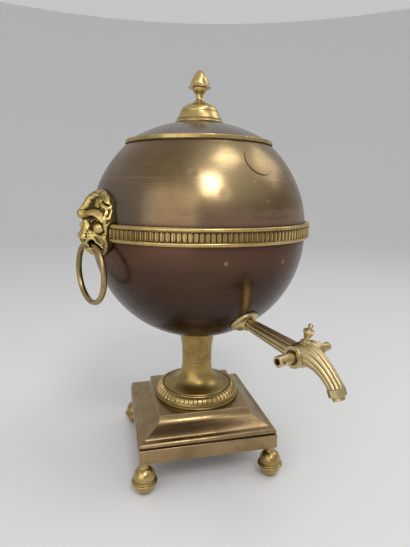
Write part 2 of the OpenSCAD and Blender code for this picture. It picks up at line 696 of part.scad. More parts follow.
tail_z = barrel_back + washer_t + plug_nut_t;

module plug_washer() color(brass) at_plug() rotate([0, 90, 0]) translate([0, 0, barrel_back])
    difference() {
        cylinder(r = 8.4, h = washer_t, $fn = round_fn);
        translate([0, 0, -1]) cylinder(r = tail_r - 0.4 + seat, h = washer_t + 2, $fn = small_fn);
    }

module plug_nut() color(pale_brass) at_plug() rotate([0, 90, 0]) translate([0, 0, barrel_back + washer_t])
    difference() {
        union() {
            cylinder(r = 7.8, h = plug_nut_t - 2, $fn = 8);
            cylinder(r = 6, h = plug_nut_t, $fn = small_fn);
        }
        translate([0, 0, -1]) cylinder(r = tail_r - 0.4 + seat, h = plug_nut_t + 2, $fn = small_fn);
    }

// ---------------------------------------------------------------- stem

module stem_collar() color(brass) rotate_extrude($fn = round_fn) difference() {
    polygon(concat(
        bez([stem_r, collar_z], [stem_r, collar_z + collar_h * 0.45],
            [collar_top_r - 3, collar_top_z - 10], [collar_top_r, collar_top_z + 1], 14),
        [[collar_top_r - 4, collar_top_z + 1], [stem_r - stem_wall, collar_z + 6],
         [stem_r - stem_wall, collar_z]]));
    globe_2d(body_r + seat);
}

module stem_coupling() color(brass) rotate_extrude($fn = round_fn) difference() {
    union() {
        translate([rod_r + seat, coupling_z]) square([stem_r - rod_r - seat, coupling_h]);
        translate([stem_r - 0.6, coupling_z + 0.3]) square([0.75, coupling_h - 0.6]);
    }
}

leaf_in_r = flange_r - 8;
leaf_z = plinth_z + 11.2;
module stem_trumpet() color(brass) turned(concat(
    [[stem_r, coupling_z]],
    bez([stem_r, coupling_z], [stem_r + 0.4, coupling_z - 17], [stem_r + 6, leaf_z + 3.6],
        [leaf_in_r - 3.4, leaf_z + 2], 18),
    [[leaf_in_r - 2.6, leaf_z + 1.2], [leaf_in_r - 2.4, leaf_z + 0.2], [leaf_in_r - 1, leaf_z]],
    bez([leaf_in_r - 0.6, leaf_z], [leaf_in_r + 3.4, leaf_z - 0.6], [flange_r - 2, plinth_z + 6],
        [flange_r - 1.8, plinth_z + 2.8], 8),
    [[flange_r - 0.6, plinth_z + 2.4], [flange_r, plinth_z + flange_t], [flange_r, plinth_z],
     [flange_r - 8, plinth_z]],
    bez([leaf_in_r - 5, leaf_z - 3], [stem_r + 5, leaf_z], [stem_r - stem_wall, coupling_z - 20],
        [stem_r - stem_wall, coupling_z], 12)));

rod_boss_r = 9;
rod_low_z = plinth_z - plinth_t - 13;
module tie_rod() color(iron_grey) difference() {
    union() {
        translate([0, 0, rod_low_z]) cylinder(r = rod_r, h = low_z - body_r - rod_low_z + 2, $fn = small_fn);
        translate([0, 0, low_z - body_r - 4]) cylinder(r = rod_boss_r, h = 6, $fn = small_fn);
    }
    rotate_extrude($fn = round_fn) intersection() {
        globe_2d(body_r + seat);
        half_plane(0, far);
    }
}

tie_washer_t = 2;
tie_nut_t = 6;
module tie_washer() color(iron_grey) translate([0, 0, plinth_z - plinth_t - tie_washer_t]) difference() {
    cylinder(r = 14, h = tie_washer_t, $fn = small_fn);
    translate([0, 0, -1]) cylinder(r = rod_r + seat, h = 6, $fn = small_fn);
}
module tie_nut() color(iron_grey) translate([0, 0, plinth_z - plinth_t - tie_washer_t - tie_nut_t])
    difference() {
        cylinder(r = 7, h = tie_nut_t, $fn = 6);
        translate([0, 0, -1]) cylinder(r = rod_r + seat, h = 10, $fn = small_fn);
    }

// ---------------------------------------------------------------- plinth

half_w = plinth_w / 2;
half_top = top_w / 2;
ovolo_top = half_w - 1.6 - ovolo_h + 0.6;
cavetto_foot = ovolo_top - step_w;
cavetto_run = cavetto_foot - half_top;

// Outline of one side, drawn across the whole width and mirrored
module plinth_side(inset) {
    grow = inset;
    low = inset > 0 ? foot_h + inset : foot_h;
    for (side = [0, 1]) mirror([side, 0]) {
        translate([0, low]) square([half_w - grow, fascia_z - low - (inset > 0 ? inset : 0)]);
        translate([0, low]) square([half_w - 1.4 - grow, fascia_z + 1 - low - inset]);
        intersection() {
            translate([0, fascia_z + 0.8 - inset]) square([half_w, ovolo_h - 0.8]);
            union() {
                translate([ovolo_top - 0.4 - inset, fascia_z - 0.2]) circle(ovolo_h + 0.2 - seat, $fn = small_fn);
                translate([0, fascia_z - inset]) square([ovolo_top - inset, ovolo_h]);
            }
        }
        difference() {
            translate([0, step_z - 1 - inset]) square([cavetto_foot - grow, cavetto_h + 1]);
            translate([cavetto_foot + 1.2 - inset / 2, plinth_z - 1.5 + inset / 4])
                scale_circle(cavetto_run + 1.2, cavetto_h - 1.5 + inset);
            translate([half_top - inset, plinth_z - 1.5 - inset]) square([cavetto_run + 4, 4 + inset]);
        }
        translate([0, plinth_z - 1.5 - inset]) square([half_top - inset, 1.5]);
    }
}
// Quarter hollow with separate run and rise
module scale_circle(run, rise) polygon(concat([[0.1, 0.1], [-run, 0.1]],
    [for (i = [0:16]) let (a = 180 + 90 * i / 16) [run * cos(a), rise * sin(a)]], [[0.1, -rise]]));

module square_moulding(inset) intersection() {
    rotate([90, 0, 0]) linear_extrude(height = plinth_w + 10, center = true) plinth_side(inset);
    rotate([90, 0, 90]) linear_extrude(height = plinth_w + 10, center = true) plinth_side(inset);
}

foot_at = half_w - foot_inset;
foot_stud_r = 2.5;
module plinth() color(bronze) rotate(-urn_turn) difference() {
    square_moulding(0);
    square_moulding(plinth_t);
    translate([0, 0, foot_h]) cube([2 * (half_w - return_w), 2 * (half_w - return_w), 12], center = true);
    cylinder(r = rod_r + 0.3, h = far, $fn = small_fn);
    for (x = [-1, 1]) for (y = [-1, 1]) translate([x * foot_at, y * foot_at, 0])
        translate([-x * foot_stud_in, -y * foot_stud_in, 0])
            cylinder(r = foot_stud_r + seat, h = foot_h + plinth_t + 1, $fn = small_fn);
}
// The stud stands inside the fascia, so it leaves the foot's neck off centre
foot_stud_in = 1.6;

// Ball foot: neck, ball, thin flared bead and a small domed base
module foot(x, y) color(brass) rotate(-urn_turn) translate([x * foot_at, y * foot_at, 0]) {
    turned(concat(
        [[0, 0], [5, 0]],
        bez([5.4, 0.3], [9, 2], [11.4, 6], [12, 10.4], 7),
        [[foot_r - 0.6, 12]],
        arc([foot_r - 0.9, 13.2], 0.9, -60, 90, 6),
        [[12.6, 14.4]],
        bez([12.6, 14.4], [12.8, 21], [8.4, 26.6], [foot_neck_r + 0.4, 28], 10),
        [[foot_neck_r, 29], [foot_neck_r, foot_h - 1.6], [foot_neck_r + 0.4, foot_h - 1.6],
         [foot_neck_r + 0.4, foot_h], [0, foot_h]]));
    translate([-x * foot_stud_in, -y * foot_stud_in, foot_h - 1])
        cylinder(r = foot_stud_r, h = 1 + plinth_t + 5.5, $fn = small_fn);
}
module foot_front_left() foot(-1, -1);
module foot_front_right() foot(1, -1);
module foot_back_left() foot(-1, 1);
module foot_back_right() foot(1, 1);

foot_nut_t = 4;
foot_nut_r = 4;
module foot_nuts() color(iron_grey) rotate(-urn_turn) for (x = [-1, 1]) for (y = [-1, 1])
    translate([x * (foot_at - foot_stud_in), y * (foot_at - foot_stud_in), foot_h + plinth_t]) difference() {
        cylinder(r = foot_nut_r, h = foot_nut_t, $fn = small_fn);
        translate([0, 0, -1]) cylinder(r = foot_stud_r + seat, h = 10, $fn = small_fn);
    }

lower_shell();
upper_shell();
girdle_band();
mouth_rim();
cartouche_disc();
lid_ring();
lid_bezel();
lid_dome();
lid_cap();
lid_finial();
lid_nut();
heater_well();
heater_cap();
heater_iron();
mask_left();
mask_right();
mask_nuts();
ring_handle_left();
ring_handle_right();
tap_escutcheon();
tap_body();
tap_nozzle();
tap_finial();
tap_backnut();
tap_plug();
plug_washer();
plug_nut();
stem_collar();
stem_coupling();
stem_trumpet();
tie_rod();
tie_washer();
tie_nut();
plinth();
foot_front_left();
foot_front_right();
foot_back_left();
foot_back_right();
foot_nuts();
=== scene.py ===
# %% [markdown]
# # A globe tea urn in copper and brass
#
# The urn's solids come from the CAD frame: half-globes, lid, masks, tap, stem
# and plinth, each in its own node and at its real size in metres. This lesson
# gives them their metals, adds the cast and chased ornament that the solids
# leave plain, and sets a small studio round the urn.

import bpy
import json
import math
import numpy as np
from mathutils import Matrix, Vector


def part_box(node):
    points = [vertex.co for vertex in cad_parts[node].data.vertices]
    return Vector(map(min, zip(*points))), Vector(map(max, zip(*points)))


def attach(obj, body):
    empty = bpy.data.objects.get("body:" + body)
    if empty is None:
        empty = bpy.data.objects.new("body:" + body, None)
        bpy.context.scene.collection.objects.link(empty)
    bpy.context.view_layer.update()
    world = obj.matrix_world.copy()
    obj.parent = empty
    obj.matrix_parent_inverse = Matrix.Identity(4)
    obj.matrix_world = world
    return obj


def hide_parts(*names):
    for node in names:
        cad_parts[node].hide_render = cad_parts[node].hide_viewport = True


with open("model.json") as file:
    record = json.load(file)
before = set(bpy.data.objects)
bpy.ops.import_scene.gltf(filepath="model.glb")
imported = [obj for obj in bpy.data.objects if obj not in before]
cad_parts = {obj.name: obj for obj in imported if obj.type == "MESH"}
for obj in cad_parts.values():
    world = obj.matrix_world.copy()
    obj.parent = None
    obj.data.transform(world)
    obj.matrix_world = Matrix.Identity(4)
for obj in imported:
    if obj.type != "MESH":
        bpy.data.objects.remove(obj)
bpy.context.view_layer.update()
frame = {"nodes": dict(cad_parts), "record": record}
nodes = frame["nodes"]

# %% [markdown]
# ## Camera
#
# A pinhole camera is fully set by where it stands, which way it looks and how
# long its lens is. The place and the turn are worked out once, from the two
# ellipses of the lid, the square plinth and the tap, and are kept as round
# numbers here. The lens is given in picture widths, so it holds at any size.

# %% Camera
image_w = 410
camera_place = Vector((-0.2741, -0.3895, 0.3134))
camera_heading = math.radians(36.12)
camera_dip = math.radians(11.09)
camera_roll = math.radians(0.79)
focal_px = 416.9
centre_px = 204.77
sensor_mm = 36


def turned_camera(heading, dip, roll):
    """A camera's axes: right, up and backwards, as the columns of a matrix."""
    level = Vector((math.sin(heading), math.cos(heading), 0))
    ahead = level * math.cos(dip) - Vector((0, 0, math.sin(dip)))
    right = Vector((math.cos(heading), -math.sin(heading), 0))
    up = right.cross(ahead)
    right_rolled = right * math.cos(roll) + up * math.sin(roll)
    up_rolled = up * math.cos(roll) - right * math.sin(roll)
    return Matrix((right_rolled, up_rolled, -ahead)).transposed()


bpy.ops.object.camera_add()
camera = bpy.context.object
camera.name = "camera"
camera.matrix_world = (
    Matrix.Translation(camera_place) @ turned_camera(camera_heading, camera_dip, camera_roll).to_4x4()
)
camera.data.sensor_fit = "HORIZONTAL"
camera.data.sensor_width = sensor_mm
camera.data.lens = sensor_mm * focal_px / image_w
camera.data.shift_x = (image_w / 2 - centre_px) / image_w
camera.data.clip_start = 0.01
bpy.context.scene.camera = camera
print("camera at", [round(v, 3) for v in camera.location], "lens", round(camera.data.lens, 2))

# %% [markdown]
# ## Shader expressions
#
# A material is a graph of nodes, and a graph written node by node is hard to
# read. The small class below wraps one socket, so that `1 - mask` or
# `noise * 0.4 + base` adds its own Math nodes. The Graph class has a single
# method that makes any other node from its type, its settings and its inputs.


# %% A socket that does arithmetic
class Wire:
    """One output socket. Arithmetic on it adds Math nodes to its graph."""

    def __init__(self, graph, socket):
        self.graph = graph
        self.socket = socket

    def math(self, operation, other, clamp=False):
        settings = {"operation": operation, "use_clamp": clamp}
        return self.graph.node("ShaderNodeMath", settings, {0: self, 1: other})

    def __add__(self, other):
        return self.math("ADD", other)

    def __sub__(self, other):
        return self.math("SUBTRACT", other)

    def __mul__(self, other):
        return self.math("MULTIPLY", other)

    __radd__ = __add__
    __rmul__ = __mul__

    def __rsub__(self, other):
        return (self * -1) + other

    def clamp(self):
        return self.math("ADD", 0, clamp=True)

    def smooth(self, low, high):
        """0 below low and 1 above high, with a soft step between."""
        if low > high:
            return 1 - self.smooth(high, low)
        return self.graph.node(
            "ShaderNodeMapRange",
            {"interpolation_type": "SMOOTHSTEP"},
            {"Value": self, "From Min": low, "From Max": high},
        )


# %% The graph of one material
class Graph:
    """The node graph of one material."""

    def __init__(self, name):
        self.material = bpy.data.materials.new(name)
        self.material.use_nodes = True
        self.tree = self.material.node_tree
        self.shader = self.tree.nodes["Principled BSDF"]

    def put(self, socket, value):
        if isinstance(value, Wire):
            self.tree.links.new(value.socket, socket)
        else:
            socket.default_value = value

    def node(self, kind, settings=None, inputs=None, output=0):
        """Any node: its settings first, then the values or links of its inputs."""
        made = self.tree.nodes.new(kind)
        for key, value in (settings or {}).items():
            setattr(made, key, value)
        for key, value in (inputs or {}).items():
            self.put(made.inputs[key], value)
        return Wire(self, made.outputs[output])

    def place(self):
        return self.node("ShaderNodeTexCoord", output="Object")

    def noise(self, scale, detail=4, roughness=0.55, at=None, distortion=0):
        return self.node(
            "ShaderNodeTexNoise",
            {},
            {"Vector": at or self.place(), "Scale": scale, "Detail": detail,
             "Roughness": roughness, "Distortion": distortion},
        )

    def mix(self, amount, first, second):
        """A mix of two colours."""
        made = self.tree.nodes.new("ShaderNodeMix")
        made.data_type = "RGBA"
        self.put(made.inputs["Factor"], amount)
        for name, value in (("A", first), ("B", second)):
            socket = next(s for s in made.inputs if s.name == name and s.type == "RGBA")
            self.put(socket, value if isinstance(value, Wire) else (*value, 1))
        return Wire(self, next(s for s in made.outputs if s.type == "RGBA"))

    def split(self):
        """The x, y and z of the object coordinates."""
        made = self.node("ShaderNodeSeparateXYZ", {}, {"Vector": self.place()}).socket.node
        return [Wire(self, made.outputs[i]) for i in range(3)]

    def finish(self, **values):
        """Feeds the shader: base_color=..., roughness=..., and so on."""
        for key, value in values.items():
            name = key.replace("_", " ").title()
            self.put(self.shader.inputs[name], (*value, 1) if isinstance(value, tuple) else value)
        return self.material


# %% [markdown]
# ## Painted shade and dirt in the hollows, wear and painted highlights on the edges
#
# Old brass is dark where the polishing cloth can't reach and bright where it
# always rubs; here the hollows also take painted shade and the edges a painted
# highlight. Two shader nodes find those places on any shape. Ambient
# Occlusion is near 0 in a crevice and 1 in the open. Bevel gives a normal
# that is rounded over the edges, and where it leans away from the true
# normal, there is an edge. Both give plain values, so each metal decides
# what to do with them.


# %% Crevices and edges
def openness(g, reach):
    """0 deep in a crevice, 1 in the open."""
    return g.node("ShaderNodeAmbientOcclusion", {"samples": 8}, {"Distance": reach}, output="AO")


def edge_lean(g, radius):
    """0 on a smooth face, rising on an edge."""
    rounded = g.node("ShaderNodeBevel", {"samples": 6}, {"Radius": radius})
    true = g.node("ShaderNodeNewGeometry", output="Normal")
    both = {0: rounded, 1: true}
    return 1 - g.node("ShaderNodeVectorMath", {"operation": "DOT_PRODUCT"}, both, output="Value")


def stretched(g, sideways, upwards):
    """Object coordinates with another scale upwards than sideways."""
    return g.node("ShaderNodeMapping", {}, {"Vector": g.place(), "Scale": (sideways, sideways, upwards)})


def apart(g, point):
    """Distance from a point given in millimetres, in metres."""
    both = {0: g.place(), 1: tuple(c / 1000 for c in point)}
    return g.node("ShaderNodeVectorMath", {"operation": "DISTANCE"}, both, output="Value")


def bumped(g, height):
    """A normal tilted by a height in metres."""
    return g.node("ShaderNodeBump", {}, {"Strength": 1.0, "Distance": 1.0, "Height": height})


# %% [markdown]
# ## Copper of the globe
#
# The two half-globes were spun from sheet copper and have not been polished
# for years. The upper one is olive brown with a rosy zone over the girdle
# and a golden patch on the shoulder, which is a painted highlight; the lower
# one is dark and reddish, and painted shade makes it darker still towards the
# bottom and the right. The colours are mixed by large soft noise and by
# height, thin level streaks come from noise that is squeezed upwards, and a
# few dents are bumps at given places. Ambient Occlusion darkens the
# crevices with painted shade and soot.

# %% Copper
# The colour of the painted shade and soot in the crevices.
shade_and_soot = (0.035, 0.026, 0.018)


def copper_skin(name, tones, rough, zones=(), dents=(), spots=(), streak=0.35):
    """Sheet copper: two tones, zones of other tones, streaks, dents, spots."""
    g = Graph(name)
    x, y, z = g.split()
    large = g.noise(14, 5, 0.6, distortion=0.8)
    fine = g.noise(1, 3, 0.6, at=stretched(g, 30, 900))
    broad = g.noise(1, 4, 0.65, at=stretched(g, 9, 130))
    cloud = g.noise(55, 6, 0.7)
    colour = g.mix((large * 0.6 + broad * 0.4).smooth(0.36, 0.64), tones[0], tones[1])
    for tone, amount in zones:
        colour = g.mix(amount(g, x, y, z, large, broad), colour, tone)
    colour = g.mix((fine * 0.6 + broad * 0.4).smooth(0.45, 0.7) * streak, colour, tones[2])
    colour = g.mix((cloud.smooth(0.58, 0.78)) * 0.35, colour, tones[3])
    scattered = {"Vector": g.place(), "Scale": 90, "Randomness": 1.0}
    pits = g.node("ShaderNodeTexVoronoi", {"feature": "F1"}, scattered)
    pit_mask = pits.smooth(0.075, 0.03) * g.noise(25, 2).smooth(0.5, 0.62)
    colour = g.mix(pit_mask * 0.6, colour, tones[3])
    for point, radius, tone, strength in spots:
        colour = g.mix(apart(g, point).smooth(radius / 1000, radius / 2500) * strength, colour, tone)
    # Painted shade and soot: Ambient Occlusion darkens the crevices and the places between parts.
    shade_and_grime = openness(g, 0.006).smooth(0.95, 0.5)
    colour = g.mix(shade_and_grime * 0.8, colour, shade_and_soot)
    waves = g.noise(24, 2, 0.4) * 0.0006
    height = waves + fine * 0.000012 + cloud * 0.00002
    for point, radius, depth in dents:
        height = height - apart(g, point).smooth(radius / 1000, 0) * (depth / 1000)
    roughness = rough + (fine - 0.5) * 0.10 + (broad - 0.5) * 0.12 + (large - 0.5) * 0.12 + shade_and_grime * 0.2
    return g.finish(base_color=colour, metallic=1.0, roughness=roughness.clamp(), normal=bumped(g, height))


def band_between(value, low, high, soft):
    """1 between two values, with soft ends."""
    return value.smooth(low - soft, low + soft) * value.smooth(high + soft, high - soft)


# %% The upper half
upper_copper = copper_skin(
    "upper_copper",
    [(0.235, 0.158, 0.078), (0.18, 0.118, 0.062), (0.3, 0.195, 0.112), (0.12, 0.082, 0.05)],
    0.27,
    zones=[
        ((0.36, 0.215, 0.15), lambda g, x, y, z, large, broad:
            (z + (large - 0.5) * 0.035 + (broad - 0.5) * 0.03).smooth(0.304, 0.286)
            * (x * 0.8 - y * 0.6).smooth(-0.02, 0.05)),
        # A painted highlight: the golden patch on the shoulder, where light from above is mirrored.
        ((0.5, 0.37, 0.19), lambda g, x, y, z, large, broad:
            (apart(g, (-28, -94, 342)) + (large - 0.5) * 0.03).smooth(0.062, 0.012) * 0.75),
        ((0.36, 0.235, 0.12), lambda g, x, y, z, large, broad:
            (x + (large - 0.5) * 0.03).smooth(0.005, 0.07) * 0.6),
        ((0.2, 0.18, 0.165), lambda g, x, y, z, large, broad:
            (x + (large - 0.5) * 0.04).smooth(-0.088, -0.11) * 0.55),
        ((0.48, 0.27, 0.16), lambda g, x, y, z, large, broad:
            band_between(z + (large - 0.5) * 0.001, 0.3249, 0.3255, 0.0004) * 0.5),
    ],
    dents=[((-2.9, -113.4, 306), 4, 0.18), ((-13.5, -106, 323.5), 3, 0.12),
           ((-64.3, -81.1, 330.1), 6, 0.15), ((-44, -104, 312), 8, 0.14), ((40, -100, 318), 9, 0.2),
           ((-90, 40, 320), 10, 0.2), ((70, 80, 300), 9, 0.2)],
    spots=[((-2.9, -113.4, 306), 2.0, (0.55, 0.4, 0.24), 0.5),
           ((-13.5, -106, 323.5), 1.2, (0.7, 0.62, 0.5), 0.6)],
)
print(upper_copper.name, len(upper_copper.node_tree.nodes), "shader nodes")

# %% The lower half and the lid
lower_copper = copper_skin(
    "lower_copper",
    [(0.082, 0.05, 0.033), (0.055, 0.036, 0.027), (0.11, 0.066, 0.042), (0.034, 0.025, 0.021)],
    0.27,
    zones=[
        ((0.14, 0.07, 0.046), lambda g, x, y, z, large, broad:
            (z + (large - 0.5) * 0.06).smooth(0.225, 0.262) * 0.75),
        # Painted shade: darker towards the bottom and the right.
        ((0.05, 0.034, 0.028), lambda g, x, y, z, large, broad:
            (z + (large - 0.5) * 0.05 - x * 0.25).smooth(0.245, 0.19) * 0.8),
        ((0.3, 0.2, 0.075), lambda g, x, y, z, large, broad:
            band_between(x + (z - 0.213) * 0.35, -0.0182, -0.0132, 0.0022) * y.smooth(0, -0.02)
            * band_between(z, 0.2, 0.232, 0.008) * 0.8),
    ],
    spots=[((-45.4, -107.6, 251.1), 2.6, (0.5, 0.28, 0.2), 0.5),
           ((19.1, -114.8, 248.3), 3.2, (0.42, 0.22, 0.15), 0.45)],
    dents=[((-45.4, -107.6, 251.1), 5, 0.2), ((19.1, -114.8, 248.3), 9, 0.25), ((-80, 70, 240), 10, 0.2)],
)
lid_copper = copper_skin(
    "lid_copper",
    [(0.27, 0.225, 0.175), (0.2, 0.165, 0.125), (0.34, 0.29, 0.25), (0.13, 0.105, 0.085)],
    0.27,
    zones=[((0.36, 0.33, 0.33), lambda g, x, y, z, large, broad: large.smooth(0.45, 0.65) * 0.6)],
    dents=[((-40, -50, 375), 8, 0.15)],
)
print(lower_copper.name, "and", lid_copper.name)

# %% [markdown]
# ## Brass
#
# The girdle, rings, rim and stem are cast or spun brass. Handling keeps them
# yellow on their outer curves, and their edges are lightened further by a
# painted highlight, while dust and old polish turn brown in the hollows,
# which also take painted shade. One function makes all the brasses, and each
# kind has its own clean colour, brown and amount of painted shade and dirt.
# The carved masks also carry an attribute that says how deep each point lies,
# because their hollows are wider than Ambient Occlusion can reach, so that
# their deep places get painted shade too.

# %% Brass
verdigris = (0.2, 0.24, 0.12)


def brass_skin(name, clean, dull, shade_and_dirt, rough, reach=0.004, wear=0.0009, amount=1.0, lathe_lines=False,
               green=0.0, carved=False):
    """Brass: clean and dull tones, painted shade and dust in the hollows, edges rubbed bright with a painted
    highlight.
    """
    g = Graph(name)
    large = g.noise(28, 5, 0.6, distortion=0.5)
    cloud = g.noise(170, 5, 0.7)
    fine = g.noise(1, 3, 0.6, at=stretched(g, 60, 1500)) if lathe_lines else g.noise(500, 4, 0.65)
    opened = openness(g, reach)
    colour = g.mix((large * 0.7 + cloud * 0.3).smooth(0.38, 0.66), clean, dull)
    colour = g.mix((fine.smooth(0.5, 0.75)) * 0.35, colour, dull)
    # Painted shade and dust: Ambient Occlusion darkens the hollows towards the dark colour.
    shade_and_grime = (opened + (cloud - 0.5) * 0.25).smooth(0.86, 0.42) * amount
    # On the masks, the depth attribute adds painted shade and dust in the wide hollows.
    if carved:
        sunk = g.node("ShaderNodeAttribute", {"attribute_name": "hollow"}, output="Fac")
        shade_and_grime = 1 - (1 - shade_and_grime) * (1 - (sunk + (cloud - 0.5) * 0.5).smooth(-0.1, 0.24) * 0.95)
    if green:
        colour = g.mix(shade_and_grime.smooth(0.05, 0.5) * large.smooth(0.42, 0.6) * green, colour, verdigris)
    colour = g.mix(shade_and_grime, colour, shade_and_dirt)
    # Edges are lightened: wear from handling, with a painted highlight along them.
    worn = edge_lean(g, wear).smooth(0.015, 0.16) * opened.smooth(0.62, 0.9)
    colour = g.mix(worn * 0.75, colour, tuple(min(1, c * 1.25 + 0.05) for c in clean))
    height = large * 0.0002 + cloud * 0.00004 + fine * 0.00001
    roughness = rough + (cloud - 0.5) * 0.16 + (large - 0.5) * 0.1 + shade_and_grime * 0.25 - worn * 0.06
    return g.finish(base_color=colour, metallic=1.0, roughness=roughness.clamp(), normal=bumped(g, height))


# %% The kinds of brass, and iron
brass = brass_skin("worn_brass", (0.62, 0.46, 0.19), (0.42, 0.29, 0.11), (0.06, 0.038, 0.016), 0.29)
ring_brass = brass_skin("ring_brass", (0.46, 0.33, 0.15), (0.28, 0.19, 0.085), (0.06, 0.038, 0.016), 0.33)
leaf_brass = brass_skin("leaf_brass", (0.6, 0.46, 0.2), (0.42, 0.3, 0.125), (0.12, 0.078, 0.032), 0.35,
                        reach=0.0018, wear=0.0004, amount=0.7)
mask_brass = brass_skin("lion_brass", (0.68, 0.51, 0.19), (0.46, 0.33, 0.11), (0.05, 0.033, 0.013), 0.36,
                        wear=0.0006, amount=0.9, green=0.6, carved=True)
stem_brass = brass_skin("stem_brass", (0.42, 0.3, 0.1), (0.25, 0.165, 0.06), (0.05, 0.033, 0.016), 0.38,
                        reach=0.003, lathe_lines=True)
tap_brass = brass_skin("tap_brass", (0.62, 0.5, 0.27), (0.44, 0.33, 0.16), (0.09, 0.055, 0.024), 0.36,
                       reach=0.003)
plinth_brass = brass_skin("plinth_brass", (0.41, 0.285, 0.145), (0.27, 0.183, 0.093),
                          (0.05, 0.032, 0.02), 0.3, wear=0.0012)
foot_brass = brass_skin("foot_brass", (0.52, 0.38, 0.15), (0.34, 0.23, 0.09), (0.05, 0.034, 0.016), 0.27)
iron = brass_skin("dark_iron", (0.16, 0.15, 0.14), (0.1, 0.085, 0.075), (0.03, 0.025, 0.02), 0.5)
print("brasses:", sorted(m.name for m in bpy.data.materials if "brass" in m.name))

# %% [markdown]
# ## The solids get their metals
#
# Most of the urn is brass, so that is what a node gets if nothing else is
# said. The copper sheets, the pale tap, the stem, the brown plinth and the
# iron inside are the exceptions.

# %% Each node gets its metal
finish_of = {"lower_shell": lower_copper, "upper_shell": upper_copper, "lid_dome": lid_copper,
             "cartouche_disc": upper_copper, "plinth": plinth_brass}
for name in ("tap_body", "tap_nozzle", "tap_finial", "tap_plug", "plug_nut", "plug_washer", "heater_well"):
    finish_of[name] = tap_brass
for name in ("stem_collar", "stem_coupling", "stem_trumpet"):
    finish_of[name] = stem_brass
for name in ("heater_iron", "tie_rod", "tie_washer", "tie_nut", "foot_nuts"):
    finish_of[name] = iron
for name, node in nodes.items():
    metal = foot_brass if name.startswith("foot_") and name != "foot_nuts" else finish_of.get(name, brass)
    node.data.materials.clear()
    node.data.materials.append(metal)
print("metals:", sorted({m.name for m in bpy.data.materials}))

# %% [markdown]
# ## The leaves of the girdle
#
# A cast band hides the joint between the two half-globes. Between its two
# beads stands a row of stiff leaves, each a tongue with a raised edge and a
# rib. They could be painted as a bump, but they catch the light from every
# side, so they are modelled. One leaf is drawn flat with a handful of faces
# and copied round the globe, as a founder would press one stamp again and
# again into the sand.

# %% Selecting and editing
mm = 0.001


def pick(*pieces):
    """Selects these objects alone; the first is the active one."""
    bpy.ops.object.select_all(action="DESELECT")
    for piece in pieces:
        piece.select_set(True)
    bpy.context.view_layer.objects.active = pieces[0]


def start_edit(piece):
    """Edit mode on one object, with nothing selected."""
    pick(piece)
    bpy.ops.object.mode_set(mode="EDIT")
    bpy.ops.mesh.select_mode(type="VERT")
    bpy.ops.mesh.select_all(action="DESELECT")


def select_points(piece, test):
    """Selects the vertices whose place passes the test."""
    bpy.ops.object.mode_set(mode="OBJECT")
    for point in piece.data.vertices:
        point.select = test(point.co)
    bpy.ops.object.mode_set(mode="EDIT")


def end_edit():
    bpy.ops.object.mode_set(mode="OBJECT")


# %% Joining, copying and finishing
def face_outwards(piece):
    """Turns every face of a closed shape outwards."""
    start_edit(piece)
    bpy.ops.mesh.select_all(action="SELECT")
    bpy.ops.mesh.normals_make_consistent(inside=False)
    end_edit()


def joined(name, pieces):
    """Several objects made one, under a new name."""
    pick(*pieces)
    bpy.ops.object.join()
    whole = bpy.context.object
    whole.name = name
    whole.data.name = name
    bpy.ops.object.transform_apply(location=True, rotation=True, scale=True)
    return whole


def copy_of(piece, place_point):
    """A copy with a mesh of its own, its points moved by place_point."""
    twin = bpy.data.objects.new(piece.name + "_copy", piece.data.copy())
    bpy.context.collection.objects.link(twin)
    for point in twin.data.vertices:
        point.co = place_point(point.co)
    return twin


def finish_piece(piece, material, body, angle=40):
    """Normals outwards, smooth shading, a material, a body to ride on."""
    face_outwards(piece)
    bpy.ops.object.shade_smooth_by_angle(angle=math.radians(angle))
    piece.data.materials.clear()
    piece.data.materials.append(material)
    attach(piece, body)
    print(piece.name, len(piece.data.polygons), "faces")


def remove(*pieces):
    for piece in pieces:
        bpy.data.objects.remove(piece)


# %% One stiff leaf
leaf_sink = 0.82
rib_wide, rib_long, rib_top = 0.26, 0.86, 0.35


def stiff_leaf(width, length, thick, edge, rows=0):
    """A tongue with a raised edge and a rib, lying flat: x across, y up, z out."""
    bpy.ops.object.select_all(action="DESELECT")
    bpy.ops.mesh.primitive_circle_add(vertices=16, radius=width / 2, fill_type="NGON")
    leaf = bpy.context.object
    straight = length - width / 2
    start_edit(leaf)
    select_points(leaf, lambda p: p.y < -1e-6)
    bpy.ops.transform.resize(value=(1, 0, 1), center_override=(0, 0, 0))
    bpy.ops.transform.translate(value=(0, -straight, 0))
    bpy.ops.mesh.select_all(action="SELECT")
    bpy.ops.transform.translate(value=(0, straight, 0))
    bpy.ops.mesh.extrude_region_move(TRANSFORM_OT_translate={"value": (0, 0, thick)})
    bpy.ops.mesh.inset(thickness=edge, depth=0)
    bpy.ops.transform.translate(value=(0, 0, -thick * leaf_sink))
    end_edit()
    bpy.ops.mesh.primitive_cube_add(size=1, location=(0, length * 0.45, thick * 0.5))
    rib = bpy.context.object
    start_edit(rib)
    bpy.ops.mesh.select_all(action="SELECT")
    bpy.ops.transform.resize(value=(width * rib_wide, length * rib_long, thick))
    select_points(rib, lambda p: p.z > 0)
    bpy.ops.transform.resize(value=(rib_top, 0.92, 1))
    end_edit()
    whole = joined("leaf", [leaf, rib])
    start_edit(whole)
    for row in range(1, rows + 1):
        bpy.ops.mesh.select_all(action="SELECT")
        bpy.ops.mesh.bisect(plane_co=(0, length * row / (rows + 1), 0), plane_no=(0, 1, 0))
    end_edit()
    return whole


